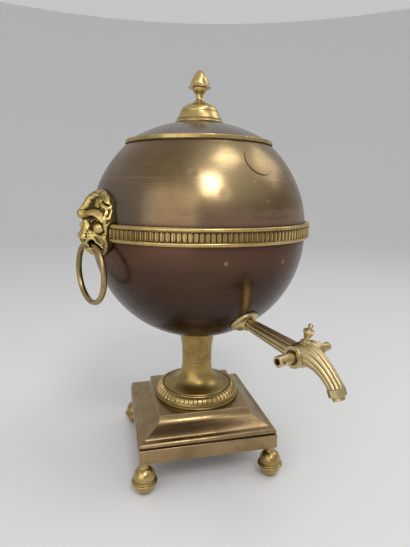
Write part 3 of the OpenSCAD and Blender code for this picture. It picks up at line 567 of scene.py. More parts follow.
def dart(width, length, thick):
    """The small point that shows between two leaves, at their tips."""
    bpy.ops.object.select_all(action="DESELECT")
    bpy.ops.mesh.primitive_cone_add(vertices=4, radius1=0.5, radius2=0.12, depth=1, location=(0, 0, 0))
    point = bpy.context.object
    start_edit(point)
    bpy.ops.mesh.select_all(action="SELECT")
    bpy.ops.transform.resize(value=(width, length, thick))
    bpy.ops.transform.translate(value=(0, -length / 2, thick / 2))
    end_edit()
    bpy.ops.object.transform_apply(location=True, rotation=True, scale=True)
    return point


# %% The row of leaves round the globe
field_r = 121.0 * mm
leaf_foot, tip_foot = 270.45 * mm, 278.85 * mm
leaf_count = 153
half_step = math.pi / leaf_count
mask_reach = math.radians(13.6)

leaf = stiff_leaf(4.7 * mm, 8.6 * mm, 1.4 * mm, 0.6 * mm)
tip = dart(0.9 * mm, 1.7 * mm, 1.2 * mm)


def round_globe(turn, lift):
    """Wraps a flat shape on the band's field, turned by an angle."""
    def move(p):
        angle = turn + p.x / field_r
        reach = field_r + p.z
        return Vector((reach * math.cos(angle), reach * math.sin(angle), lift + p.y))
    return move


copies = []
for number in range(leaf_count):
    turn = half_step * (2 * number + 1)
    from_mask = abs((turn + math.pi / 2) % math.pi - math.pi / 2)
    if from_mask > mask_reach:
        copies.append(copy_of(leaf, round_globe(turn, leaf_foot)))
        copies.append(copy_of(tip, round_globe(turn + half_step, tip_foot)))
girdle_leaves = joined("girdle_leaves", copies)
remove(leaf, tip)
finish_piece(girdle_leaves, leaf_brass, "urn")

# %% [markdown]
# ## The leaves on the foot of the stem
#
# The stem spreads into a round flange, and its last swelling carries leaves
# that hang outwards and down. They are the same leaf, a little smaller, laid
# along the curve of the moulding. A flat leaf with no cuts across it would
# bridge that curve, so this one is first cut into rows.

# %% The row of leaves round the flange
flange_count = 57
flange_r = 46 * mm
flange_path = [(41.3, 85.0), (43.0, 84.9), (44.8, 84.2), (46.3, 82.6), (47.3, 80.4), (47.9, 78.2),
               (48.2, 76.8)]


def along_path(path, distance):
    """The place and the outward direction at a distance down a profile."""
    for start, end in zip(path, path[1:]):
        step = math.dist(start, end)
        if distance <= step or end == path[-1]:
            part = distance / step
            ahead = ((end[0] - start[0]) / step, (end[1] - start[1]) / step)
            place = (start[0] + (end[0] - start[0]) * part, start[1] + (end[1] - start[1]) * part)
            return place, (-ahead[1], ahead[0])
        distance -= step


def down_flange(turn):
    """Lays a flat shape down the moulding, turned by an angle."""
    def move(p):
        (r, z), (out_r, out_z) = along_path(flange_path, p.y / mm)
        r, z = (r + out_r * p.z / mm) * mm, (z + out_z * p.z / mm) * mm
        angle = turn + p.x / flange_r
        return Vector((r * math.cos(angle), r * math.sin(angle), z))
    return move


leaf = stiff_leaf(5.0 * mm, 9.4 * mm, 0.85 * mm, 0.55 * mm, rows=5)
turns = [2 * math.pi * n / flange_count for n in range(flange_count)]
flange_leaves = joined("flange_leaves", [copy_of(leaf, down_flange(turn)) for turn in turns])
remove(leaf)
finish_piece(flange_leaves, leaf_brass, "urn")

# %% [markdown]
# ## Turned pieces
#
# The cap of the lid, its acorn, the feet and most of the tap were turned on a
# lathe. A lathe is a profile and a spin, so one vertex is extruded from point
# to point down the profile and then spun round the axis. The frame's own
# solids have plainer profiles. These stand in their places, with the fillets,
# beads and quirks of the real castings.


# %% Lines of a profile
def curve(start, pull, push, end, steps):
    """Points of a curve that leaves start towards pull and comes to end from push."""
    points = []
    for number in range(steps + 1):
        t = number / steps
        shares = ((1 - t) ** 3, 3 * t * (1 - t) ** 2, 3 * t**2 * (1 - t), t**3)
        four = list(zip(shares, (start, pull, push, end)))
        points.append(tuple(sum(share * point[i] for share, point in four) for i in (0, 1)))
    return points


def arc(centre, radius, first, last, steps):
    """Points of an arc between two angles in degrees."""
    angles = [math.radians(first + (last - first) * n / steps) for n in range(steps + 1)]
    return [(centre[0] + radius * math.cos(a), centre[1] + radius * math.sin(a)) for a in angles]


# %% A profile on the lathe
weld = 2e-6


def turned(name, profile, sides=96, spot=Matrix.Identity(4)):
    """Spins a profile of (radius, height) in millimetres round Z, then puts it on its spot."""
    bpy.ops.object.select_all(action="DESELECT")
    bpy.ops.mesh.primitive_plane_add(size=0.01, location=(0, 0, 0))
    piece = bpy.context.object
    piece.name = name
    start_edit(piece)
    bpy.ops.mesh.select_all(action="SELECT")
    bpy.ops.mesh.merge(type="CENTER")
    bpy.ops.transform.translate(value=(profile[0][0] * mm, 0, profile[0][1] * mm))
    for (r0, z0), (r1, z1) in zip(profile, profile[1:]):
        step = ((r1 - r0) * mm, 0, (z1 - z0) * mm)
        bpy.ops.mesh.extrude_region_move(TRANSFORM_OT_translate={"value": step})
    bpy.ops.mesh.select_all(action="SELECT")
    bpy.ops.mesh.spin(steps=sides, angle=2 * math.pi, center=(0, 0, 0), axis=(0, 0, 1))
    bpy.ops.mesh.select_all(action="SELECT")
    bpy.ops.mesh.remove_doubles(threshold=weld)
    end_edit()
    piece.matrix_world = spot
    bpy.ops.object.transform_apply(location=True, rotation=True, scale=True)
    return piece


def soften(piece, width, angle=35):
    """A small bevel on every sharp edge, as polishing leaves it."""
    pick(piece)
    bevel = piece.modifiers.new("soft_edges", "BEVEL")
    bevel.width = width * mm
    bevel.segments = 2
    bevel.limit_method = "ANGLE"
    bevel.angle_limit = math.radians(angle)
    bpy.ops.object.modifier_apply(modifier=bevel.name)


def cut_away(piece, tool):
    """Takes one closed shape out of another."""
    pick(piece)
    cut = piece.modifiers.new("cut", "BOOLEAN")
    cut.operation = "DIFFERENCE"
    cut.solver = "EXACT"
    cut.object = tool
    bpy.ops.object.modifier_apply(modifier=cut.name)
    remove(tool)


def spot_at(x, y, z, axis="Z", degrees=0):
    """A place in millimetres and a turn about one axis."""
    return Matrix.Translation(Vector((x, y, z)) * mm) @ Matrix.Rotation(math.radians(degrees), 4, axis)


# %% Cap of the lid
cap_z, cap_top = 384.9, 407.3
cap_r, stud_r = 26.6, 2.5
lid_cap = turned("lid_cap_turned", [
    (stud_r, cap_z - 1), (cap_r - 0.6, cap_z - 1), (cap_r, cap_z + 0.2), (cap_r, cap_z + 1.4),
    (cap_r - 0.6, cap_z + 2.4), (cap_r - 2, cap_z + 3.7), (cap_r - 2.5, cap_z + 4.1),
    (cap_r - 2.2, cap_z + 4.7),
    *curve((cap_r - 3, cap_z + 6.2), (cap_r - 4.2, cap_z + 8.2), (cap_r - 5, cap_z + 10),
           (cap_r - 5.6, cap_z + 11.6), 6),
    (cap_r - 6.3, cap_z + 12), (cap_r - 6.2, cap_z + 12.6),
    *curve((cap_r - 6.3, cap_z + 13), (cap_r - 7.4, cap_z + 17), (cap_r - 11, cap_z + 19.6),
           (cap_r - 18, cap_top - 0.6), 14),
    (cap_r - 19.2, cap_top), (stud_r, cap_top), (stud_r, cap_z - 1)], sides=128)
finish_piece(lid_cap, brass, "lid", angle=28)
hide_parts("lid_cap")

# %% Acorn of the lid, with its stud
acorn_r, acorn_stem_r, acorn_foot_r = 12.3, 3.75, 6.6
tip_z = 440.1
stud_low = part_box("lid_finial")[0].z / mm
acorn = turned("acorn", [
    (0, stud_low), (stud_r, stud_low), (stud_r, cap_top), (acorn_foot_r, cap_top),
    (acorn_foot_r, cap_top + 0.7), (acorn_foot_r - 1, cap_top + 1),
    *curve((5.5, cap_top + 1), (4.6, cap_top + 2.4), (3.8, cap_top + 3.4), (acorn_stem_r, cap_top + 5), 7),
    (acorn_stem_r, cap_top + 8.2), (4.9, cap_top + 8.6), (5.2, cap_top + 9.2), (4.9, cap_top + 9.8),
    *curve((5.4, cap_top + 10), (7.4, cap_top + 10.8), (8, cap_top + 12.6), (8.4, cap_top + 14.3), 7),
    (acorn_r - 0.3, cap_top + 14.8), (acorn_r, cap_top + 15.2), (acorn_r - 0.2, cap_top + 15.7),
    (acorn_r - 0.6, cap_top + 16.1), (acorn_r - 1.6, cap_top + 17), (acorn_r - 2.1, cap_top + 17.9),
    *curve((acorn_r - 2.2, cap_top + 18.2), (acorn_r - 3.1, cap_top + 24.6), (3.6, tip_z), (0, tip_z), 18)])
finish_piece(acorn, brass, "lid", angle=28)
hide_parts("lid_finial")

# %% [markdown]
# ## The feet
#
# Each foot is a flattened ball with a thin raised ring round its belly, on a
# short neck. The lathe makes it once. It is copied to the four corners, gets
# the stud that goes up into the plinth, and is turned with the plinth, which
# doesn't stand square to the tap.

# %% Four feet
turn_of_plinth = -23
foot_tall, foot_r, neck_r = 34.5, 13.8, 4.4
foot_out, foot_stud_in = 70.6, 1.6
foot_stud_r, foot_stud_long, foot_stud_sunk = 2.5, 8.9, 1.0
foot = turned("foot", [
    (0, 0), (foot_r - 8.8, 0),
    *curve((foot_r - 8.4, 0.3), (foot_r - 4.8, 2), (foot_r - 2.4, 6), (foot_r - 1.6, 10.8), 8),
    *arc((foot_r - 0.9, 12.9), 0.9, -70, 60, 7), (foot_r - 1.2, 13.9),
    *arc((foot_r - 1.8, 14.9), 0.8, -50, 60, 6),
    *curve((foot_r - 2.3, 15.8), (foot_r - 2.0, 22.5), (neck_r + 5.2, 26.2), (neck_r + 0.6, 28.2), 14),
    (neck_r, 29.4), (neck_r, foot_tall - 1.6), (neck_r + 0.4, foot_tall - 1.6), (neck_r + 0.4, foot_tall),
    (0, foot_tall)], sides=72)
corner_ways = (("front_left", -1, -1), ("front_right", 1, -1), ("back_left", -1, 1), ("back_right", 1, 1))
for name, x, y in corner_ways:
    cast = copy_of(foot, lambda p: p + Vector((x, y, 0)) * foot_out * mm)
    inner = foot_out - foot_stud_in
    stud_middle = Vector((x * inner, y * inner, foot_tall + foot_stud_long / 2 - foot_stud_sunk)) * mm
    bpy.ops.object.select_all(action="DESELECT")
    bpy.ops.mesh.primitive_cylinder_add(
        vertices=32, radius=foot_stud_r * mm, depth=foot_stud_long * mm, location=stud_middle)
    stud = bpy.context.object
    whole = joined("cast_foot_" + name, [cast, stud])
    whole.rotation_euler.z = math.radians(turn_of_plinth)
    bpy.ops.object.transform_apply(location=True, rotation=True, scale=True)
    finish_piece(whole, foot_brass, "urn", angle=28)
    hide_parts("foot_" + name)
remove(foot)

# %% [markdown]
# ## The plinth
#
# The plinth is hollow, with mitred corners. A spin of only four steps makes
# just that: every point of the profile goes round a square. The profile is
# drawn at the corner, so it stands out by the square root of two.

# %% Plinth
half_w, half_top = 76.0, 51.0
plinth_low, fascia_top, step_z, plinth_top = 34.5, 50.0, 57.2, 73.8
wall, lip, half_round, rod_hole, foot_return = 2.4, 0.9, 3.4, 3.3, 15.0
torus_x = half_w - 4.2
hollow_foot = torus_x - 3
side = [
    (half_w, plinth_low), *arc((half_w - lip, fascia_top - lip), lip, 0, 90, 5), (torus_x + 2.1, fascia_top),
    *arc((torus_x, fascia_top + half_round - 0.25), half_round, -52, 84, 11),
    (torus_x - 0.2, step_z - 0.5), (hollow_foot, step_z - 0.5),
    *curve((hollow_foot, step_z - 0.4), (61.5, 62), (half_top + 0.4, 64), (half_top, plinth_top - 2.2), 14),
    (half_top + 0.5, plinth_top - 1.6), (half_top + 0.5, plinth_top - 0.4), (half_top, plinth_top),
    (rod_hole, plinth_top), (rod_hole, plinth_top - wall), (half_top - wall, plinth_top - wall),
    (half_top - wall, plinth_top - 6), (half_top + 8, step_z - wall), (torus_x - wall, step_z - wall),
    (torus_x - wall, fascia_top - wall), (half_w - wall, fascia_top - wall),
    (half_w - wall, plinth_low + wall), (half_w - foot_return, plinth_low + wall),
    (half_w - foot_return, plinth_low), (half_w, plinth_low)]
corners = [(x * math.sqrt(2), z) for x, z in side]
plinth = turned("mitred_plinth", corners, sides=4, spot=spot_at(0, 0, 0, "Z", 45 + turn_of_plinth))
soften(plinth, 0.3, angle=50)
finish_piece(plinth, plinth_brass, "urn", angle=28)
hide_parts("plinth")

# %% [markdown]
# ## The tap
#
# The tap is one casting: a reeded shank, a round belly with the plug's barrel
# across it, and a reeded spout that bends down into an eight-sided nozzle.
# The reeds run along a curve, so a lathe can't make them. A disc is extruded
# row by row into a tube, and each row is then placed on the curve with its
# rim pushed into lobes.


# %% A tube with any section
def sleeve(name, rows, sides, form):
    """A closed tube; form(angle, part) places each point, in millimetres."""
    bpy.ops.object.select_all(action="DESELECT")
    bpy.ops.mesh.primitive_circle_add(vertices=sides, radius=1, fill_type="NGON")
    piece = bpy.context.object
    piece.name = name
    start_edit(piece)
    bpy.ops.mesh.select_all(action="SELECT")
    for _ in range(rows):
        bpy.ops.mesh.extrude_region_move(TRANSFORM_OT_translate={"value": (0, 0, 1 / rows)})
    end_edit()
    for point in piece.data.vertices:
        point.co = Vector(form(math.atan2(point.co.y, point.co.x), point.co.z)) * mm
    return piece


def reeded(radius, lobes, deep, angle):
    """Radius of a reeded section: round lobes that meet in sharp valleys."""
    return radius - deep * (1 - abs(math.sin(lobes * angle / 2)) ** 0.6)


# %% Shank
tap_slope = 8
root_y, root_z = 83.15, 184.3
plug_joint = next(j for j in frame["record"]["behaviour"]["joints"] if j["name"] == "plug_turn")
plug_y, plug_z = -plug_joint["pos_m"][1] / mm, plug_joint["pos_m"][2] / mm
shank_long = (plug_y - root_y) / math.cos(math.radians(tap_slope))
shank_from, shank_r, shank_gain = 5, 6, 2.6
reed_deep = 1.25


def shank_form(angle, part):
    radius = reeded(shank_r + shank_gain * part, 8, reed_deep, angle)
    return radius * math.cos(angle), radius * math.sin(angle), shank_from + (shank_long - shank_from) * part


at_root = spot_at(0, -root_y, root_z, "X", 90 + tap_slope)
shank = sleeve("shank", 12, 96, shank_form)
shank.matrix_world = at_root
print("shank", round(shank_long, 1), "mm long")

# %% Spout
nozzle_tilt, nozzle_tall = 26, 10
mouth_out, mouth_drop = 42.4, 25.2
mouth_y, mouth_z = plug_y + mouth_out, plug_z - mouth_drop
nozzle_way = (math.sin(math.radians(nozzle_tilt)), -math.cos(math.radians(nozzle_tilt)))
spout_end = (mouth_y - nozzle_tall * nozzle_way[0], mouth_z - nozzle_tall * nozzle_way[1])
spout_steps = 200
spout_line = curve(
    (plug_y, plug_z + 0.6), (plug_y + 17.4, plug_z + 8.2),
    (spout_end[0] - 3 * nozzle_way[0], spout_end[1] - 3 * nozzle_way[1]), spout_end, spout_steps)
spout_r, spout_root_gain, spout_end_gain = 6.2, 6, 1.1
spout_from = 0.08


def spout_form(angle, part):
    t = spout_from + (1 - spout_from) * part
    here = min(spout_steps - 1, int(t * spout_steps))
    (y0, z0), (y1, z1) = spout_line[here], spout_line[here + 1]
    share = t * spout_steps - here
    place = (y0 + (y1 - y0) * share, z0 + (z1 - z0) * share)
    step = math.dist(spout_line[here], spout_line[here + 1])
    ahead = ((y1 - y0) / step, (z1 - z0) / step)
    deep = reed_deep * min(1, 4 * (t - spout_from))
    radius = reeded(spout_r + spout_root_gain * (1 - t) ** 2 + spout_end_gain * t**4, 10, deep, angle)
    across, up = radius * math.cos(angle), radius * math.sin(angle)
    return across, -(place[0] - ahead[1] * up), place[1] + ahead[0] * up


spout = sleeve("spout", 44, 120, spout_form)
print("spout", len(spout.data.polygons), "faces")

# %% Belly, barrel and the pad of the finial
barrel_front, barrel_back, barrel_r, belly_r = 11.5, 17.0, 9.4, 11.6
plug_r, plug_small, plug_from = 6.9, 5.6, -10
at_plug = spot_at(0, -plug_y, plug_z, "Y", 90)
barrel = turned("barrel", [
    (plug_r, plug_from), (plug_r, -barrel_front), (9.9, -barrel_front),
    *arc((9.7, -barrel_front + 0.5), 0.5, -60, 60, 4), (10.2, -9.6), (9.5, -9.1), (barrel_r, -7.4),
    *arc((0, 0), belly_r, -36, 36, 14), (barrel_r, 7.4), (barrel_r, 14.2), (9.9, 14.7),
    (9.9, barrel_back - 0.3), (9.6, barrel_back), (plug_small, barrel_back), (plug_r, plug_from)],
    spot=at_plug)
finial_lean, pad_low, pad_top = 17, 6, 13.6
at_finial = spot_at(0, -plug_y, plug_z, "X", finial_lean)
pad = turned("pad", [
    (0, pad_low), (5.4, pad_low), *curve((5.4, 10.6), (4.7, 11.4), (4.6, 12), (4.6, pad_top - 0.2), 4),
    (4.4, pad_top), (0, pad_top)], sides=48, spot=at_finial)
tap_cast = joined("tap_cast", [barrel, shank, spout, pad])
finish_piece(tap_cast, tap_brass, "urn", angle=32)
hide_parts("tap_body")

# %% Small finial on the tap
finial_tall = 18.5
finial = turned("tap_button", [(x, z + pad_top) for x, z in [
    (0, 0), (3.9, 0), (3.9, 1), (2.6, 1.5), *curve((2.3, 1.9), (2.2, 3.6), (3, 6.4), (4.2, 8.6), 7),
    (4.4, finial_tall - 8.8), (4.9, finial_tall - 7.9), (4.9, finial_tall - 6.9), (2.6, finial_tall - 6.2),
    (1.7, finial_tall - 5.4), (1.8, finial_tall - 4.8), *arc((0, finial_tall - 2.3), 2.3, -40, 90, 9)]],
    sides=64, spot=at_finial)
finish_piece(finial, tap_brass, "urn", angle=28)
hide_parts("tap_finial")

# %% Nozzle: an eight-sided collar round a thin tube
bore_r, collar_half, collar_low, collar_turn = 4, 7.1, 3.2, 38
at_mouth = spot_at(0, -mouth_y, mouth_z, "X", -nozzle_tilt)
collar_r = collar_half / math.cos(math.pi / 8)
collar = turned("collar", [
    (bore_r, collar_low), (collar_r - 0.4, collar_low), (collar_r, collar_low + 0.6),
    (collar_r, nozzle_tall - 0.5), (collar_r - 0.5, nozzle_tall), (bore_r, nozzle_tall),
    (bore_r, collar_low)], sides=8, spot=at_mouth @ spot_at(0, 0, 0, "Z", collar_turn))
tube = turned("tube", [
    (bore_r, 0), (5, 0), (5.3, 0.4), (5.3, collar_low + 0.4), (bore_r, collar_low + 0.4), (bore_r, 0)],
    sides=48, spot=at_mouth)
nozzle = joined("eight_sided_nozzle", [collar, tube])
finish_piece(nozzle, tap_brass, "urn", angle=28)
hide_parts("tap_nozzle")

# %% Escutcheon: a plate on the globe, and the boss round the tap's root
face_lean = 90 + 45.2
plate_r, spigot_r, spigot_long = 15.6, 5.4, 14
plate = turned("plate", [
    (0, -2.4), (plate_r - 0.4, -2.4), (plate_r, -0.6), (plate_r, 1), (plate_r - 0.6, 1.9),
    (plate_r - 1.6, 2.2), (0, 2.2)], spot=spot_at(0, -root_y, root_z, "X", face_lean))
boss = turned("boss", [
    (0, -spigot_long), (spigot_r, -spigot_long), (spigot_r, -3), (11.6, -3),
    *curve((11.6, -1.5), (9.6, 1), (8, 4), (7.5, 8), 7), (6.9, 8.4), (0, 8.4)], sides=64, spot=at_root)
escutcheon = joined("boss_and_plate", [plate, boss])
finish_piece(escutcheon, tap_brass, "urn", angle=28)
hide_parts("tap_escutcheon")

# %% [markdown]
# ## The plug
#
# The plug goes across the barrel and shuts the tap. One end carries the empty
# socket that held a wooden or bone handle, with a hole for its pin. The other
# has the tail beyond the nut. It is a turned piece with one hole drilled
# across it, and it rides on the body that turns.

# %% The plug with its empty handle socket
stub_r, socket_r, socket_deep, stub_end = 5.0, 3.1, 12, -29.5
tail_r, tail_from, tail_end, tail_neck = 4.1, 26.5, 39.9, 0.4
plug_gap, pin_r, pin_in = 0.05, 1.2, 3.8
plug = turned("turned_plug", [
    (0, stub_end + socket_deep), (socket_r, stub_end + socket_deep), (socket_r, stub_end),
    (stub_r - 0.3, stub_end), (stub_r, stub_end + 0.3), (stub_r, plug_from - 0.4),
    (plug_r - plug_gap, plug_from - 0.4), (plug_small - plug_gap, barrel_back - 0.5),
    (tail_r - tail_neck, barrel_back - 0.5), (tail_r - tail_neck, tail_from), (tail_r, tail_from),
    (tail_r, tail_end - 6), (tail_r - 0.8, tail_end - 5.4), (tail_r - 0.8, tail_end - 4.8),
    (tail_r, tail_end - 4.2), *arc((0, tail_end - 4.1), tail_r, 10, 90, 7)], sides=64, spot=at_plug)
bpy.ops.mesh.primitive_cylinder_add(
    vertices=24, radius=pin_r * mm, depth=20 * mm, rotation=(math.pi / 2, 0, 0),
    location=Vector((stub_end + pin_in, -plug_y, plug_z)) * mm)
cut_away(plug, bpy.context.object)
finish_piece(plug, tap_brass, "plug", angle=28)
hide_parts("tap_plug")

# %% [markdown]
# ## Ring handles
#
# Each ring was cast round and then worn by its own weight: it is slimmer
# where it rubs in the lion's mouth and flatter along its inner side. A torus
# has the right start, and its section is then pressed to that shape.

# %% Rings
ring_x, pivot_z, ring_r = 128.0, 264.0, 29.7
section_in, section_across = 2.75, 2.95
worn_deep, worn_wide, flattened = 0.14, 0.35, 0.88
ring_twist = 2.5
for name, way in (("right", 1), ("left", -1)):
    bpy.ops.object.select_all(action="DESELECT")
    bpy.ops.mesh.primitive_torus_add(
        major_segments=120, minor_segments=24, major_radius=ring_r, minor_radius=1,
        rotation=(0, math.pi / 2, 0))
    ring = bpy.context.object
    ring.name = "worn_ring_" + name
    bpy.ops.object.transform_apply(location=True, rotation=True, scale=True)
    for point in ring.data.vertices:
        turn = math.atan2(point.co.y, point.co.z)
        out = math.hypot(point.co.y, point.co.z) - ring_r
        worn = 1 - worn_deep * math.exp(-((turn / worn_wide) ** 2))
        out *= section_in * worn * (flattened if out < 0 else 1)
        reach = ring_r + out
        point.co = Vector((way * ring_x + point.co.x * section_across * worn, reach * math.sin(turn),
                           pivot_z - ring_r + reach * math.cos(turn))) * mm
    pivot = Vector((way * ring_x, 0, pivot_z)) * mm
    twist = Matrix.Rotation(math.radians(ring_twist), 4, "Z")
    ring.data.transform(Matrix.Translation(pivot) @ twist @ Matrix.Translation(-pivot))
    finish_piece(ring, ring_brass, "ring_" + name, angle=60)
    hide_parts("ring_handle_" + name)

# %% [markdown]
# ## The lion masks
#
# Each ring handle hangs from a lion's mouth, cast in brass and finished with
# a chisel. A carved face has no primitive to start from, so this one is made
# as a sculptor works in relief: a fine sheet is laid on the globe, raised to
# the big forms, and then locks, lids and whiskers are pressed in or built up
# along drawn lines. Heights are kept in millimetres over the globe, with
# `y` across the face and `z` up from a line through the mouth.

# %% Tables of the mask
globe_r = 118.0
low_centre, high_centre = 268.031, 273.431
mask_z = 264.031
mask_low, mask_tall = -14.4, 64.5
# each table starts with the height up the mask; then come the half width, the
# height of the ground, the rise of the middle, and the half width of that rise
outline = [(-14.4, 4), (-12, 11), (-9.5, 16), (-6.8, 20.5), (-2.7, 23.6), (1, 25.2), (4.1, 25.8),
           (7.5, 25.3), (10.6, 25.5), (15.3, 26.8), (18, 28.4), (21, 29), (24, 28.6), (27.3, 27.7),
           (31, 26.9), (34.5, 25.8), (38.5, 24), (42.5, 21), (45, 17.5), (47, 13.8), (48.8, 9), (50.1, 2)]
ground = [(-14.4, 3.6), (-11.6, 5.3), (-8.4, 7), (-5.3, 8), (-0.4, 9.1), (4.8, 9.8), (12.2, 10.4),
          (21.6, 11.2), (34.6, 10.5), (38.4, 10), (43.5, 8.5), (46.3, 7.4), (50.1, 4.8)]
middle = [(-14.4, 0.5), (-11.6, 3.9), (-8.4, 5.7), (-5.3, 6.3), (-0.4, 6.4), (2.7, 7.8), (5.6, 10),
          (8.5, 9.1), (12.2, 7.4), (17.8, 5.3), (21.6, 5.2), (23.5, 4.4), (26.3, 3), (29.1, 5.4),
          (30.9, 7.4), (34.6, 7.8), (38.4, 7.4), (43.5, 6.6), (46.3, 4.4), (50.1, 1.8)]
middle_wide = [(-14.4, 6), (-8, 9), (-2, 11), (2, 12), (8, 12.5), (11, 10), (14, 6.5), (21, 5), (26, 5),
               (31, 4.6), (40, 4.6), (46, 7), (50.1, 8)]
# the brow's lower and upper edge: distance from the middle, height up the mask
brow_low = [(0, 22.6), (4, 23.8), (9, 25.4), (15.4, 25.6), (20, 23.6), (23.4, 20.6), (27, 17.5)]
brow_high = [(0, 31), (4, 31.6), (8, 32.6), (13, 32.8), (18, 31.8), (22, 29.4), (24.5, 26.4), (27, 22)]
eye_y, eye_z = 11.2, 19.6
cheek_y, cheek_z, cheek_r = 19, 15, 5.1
print("mask", mask_tall, "mm tall and", 2 * max(half for _, half in outline), "mm wide")


# %% Big forms of the mask
def table(values, points):
    """Reads a table of pairs, straight between them."""
    return np.interp(values, [p[0] for p in points], [p[1] for p in points])


def hump(values, centre, width):
    """A soft round bump, 1 at its centre."""
    return np.exp(-(((values - centre) / width) ** 2))


def blurred(field, reach):
    """A soft blur over the sheet, to round what the tables leave angular."""
    weights = np.exp(-np.linspace(-2, 2, 2 * reach + 1) ** 2)
    weights /= weights.sum()
    for axis in (0, 1):
        wide = np.pad(field, [(reach, reach) if a == axis else (0, 0) for a in (0, 1)], mode="edge")
        field = np.apply_along_axis(lambda line: np.convolve(line, weights, mode="valid"), axis, wide)
    return field


def big_forms(a, z):
    """The head without its carving: ground, muzzle, brow and cheeks."""
    aside = np.minimum(1, a / table(z, outline))
    dome = (1 - aside**4) ** 0.6
    rim = 1.6 + 3.6 * np.exp(-(((z - 10.7) / 13) ** 4))
    height = rim + (table(z, ground) - rim) * dome
    height += table(z, middle) * np.exp(-((a / table(z, middle_wide)) ** 4)) * dome
    height = blurred(height, 3)
    low, high = table(a, brow_low), table(a, brow_high)
    up = (z - low) / (high - low)
    mound = np.sin(np.pi * np.clip(up, 0, 1) ** 0.72) ** 0.72
    brow = 8.6 * np.exp(-((a / 23) ** 2.6)) * (1 - 0.22 * hump(a, 0, 5)) * mound * np.minimum(1, 1.6 * dome)
    height += blurred(brow, 2) + 3.2 * hump(a, 0, 3.6) * hump(z, 31.4, 3.8)
    height -= 5 * hump(a, eye_y, 5.6) * hump(z, eye_z, 3.4) * np.minimum(1, 1.6 * dome)
    from_cheek = np.hypot(a - cheek_y, z - cheek_z)
    height -= 1.3 * hump(from_cheek, cheek_r + 0.8, 0.8)
    ball = np.sqrt(np.clip(1 - (from_cheek / cheek_r) ** 2, 0, 1))
    height += 5.0 * ball - 0.6 * (from_cheek < cheek_r)
    return height, aside, dome


# %% Carving along drawn lines
def drawn_line(points):
    """Rounds the corners of a drawn line by cutting them twice."""
    for _ in range(2):
        new = [points[0]]
        for start, end in zip(points, points[1:]):
            for part in (0.25, 0.75):
                new.append(tuple(s + (e - s) * part for s, e in zip(start, end)))
        points = new + [points[-1]]
    return points


def near_line(a, z, points):
    """Distance to a drawn line, and how far along it the nearest point is."""
    points = drawn_line(points)
    best = np.full(a.shape, 1e9)
    along = np.zeros(a.shape)
    for number, (start, end) in enumerate(zip(points, points[1:])):
        da, dz = end[0] - start[0], end[1] - start[1]
        part = np.clip(((a - start[0]) * da + (z - start[1]) * dz) / (da * da + dz * dz + 1e-9), 0, 1)
        far = np.hypot(a - start[0] - part * da, z - start[1] - part * dz)
        closer = far < best
        best = np.where(closer, far, best)
        along = np.where(closer, (number + part) / (len(points) - 1), along)
    return best, along


def ridge(a, z, points, width, height, hair=0.0):
    """A round lock of hair, thinner towards its ends, with hair lines."""
    far, along = near_line(a, z, points)
    thin = np.clip(np.sin(np.pi * np.clip(along, 0.04, 0.96)), 0, 1) ** 0.45
    side = np.clip(far / (width * thin + 1e-6), 0, 1)
    lines = hair * (0.5 + 0.5 * np.cos(side * 3 * np.pi)) * (side < 1)
    return height * thin * np.sqrt(1 - side**2) - lines


def groove(a, z, points, width, depth):
    """A cut with soft sides along a drawn line."""
    far, _ = near_line(a, z, points)
    return depth * np.exp(-((far / width) ** 2))


# %% Locks, beard and lids
locks = [  # points (across, up), half width, height, depth of the hair lines
    ([(0.5, 49.5), (7, 48.3), (13, 46), (18, 42.8), (22.3, 38.6), (25.2, 33.8), (27, 28.6), (27.8, 23.5)],
     2.3, 2.2, 0.4),
    ([(2, 45.8), (7, 45.6), (11.8, 43.4), (16, 39.6), (19.7, 35.6), (22.8, 33)], 1.8, 2.1, 0.35),
    ([(22.5, 34.5), (24.6, 31), (25.4, 27), (26, 23), (26.6, 19.5)], 1.4, 1.9, 0.3),
    ([(27.6, 25), (28, 20.5), (27, 16.5), (25.8, 12.5), (25.3, 8)], 1.7, 1.9, 0.4),
    ([(23.4, 21.5), (24.9, 18.6), (25.6, 15), (24.4, 11), (22.6, 8.6)], 1.3, 1.6, 0.3),
    ([(22.8, 7.8), (25, 5.6), (25.4, 2.2), (24, -1.2), (21.4, -3.6)], 1.8, 1.9, 0.3),
    ([(19, -3.2), (21.2, -5.2), (19.4, -7.6), (16.6, -7.4)], 1.4, 1.3, 0.25),
    ([(3.2, 31.5), (3.6, 35), (3.4, 39), (2.4, 43)], 1.6, 0.7, 0.15),
]
beard = [([(x, -5.2 - 0.02 * x * x), (x * 1.02, -9), (x * 0.86, -13.6 + 0.02 * x * x)], 1.25, 0.9, 0.25)
         for x in (0, 3, 6.2, 9.6, 13)]
lids = [
    ([(5.2, 19.4), (7.6, 22), (11.2, 23), (15, 22), (17.6, 19.4)], 0.9, 1.3, 0),
    ([(5.6, 18.2), (8.4, 16.4), (12, 15.8), (15.6, 17)], 0.7, 0.9, 0),
    ([(4.4, 15.5), (6.6, 13), (9.5, 11.4), (13, 10.8)], 0.9, 0.7, 0),
]
print(len(locks), "locks on each side,", len(beard), "strands of beard,", len(lids), "folds round the eye")

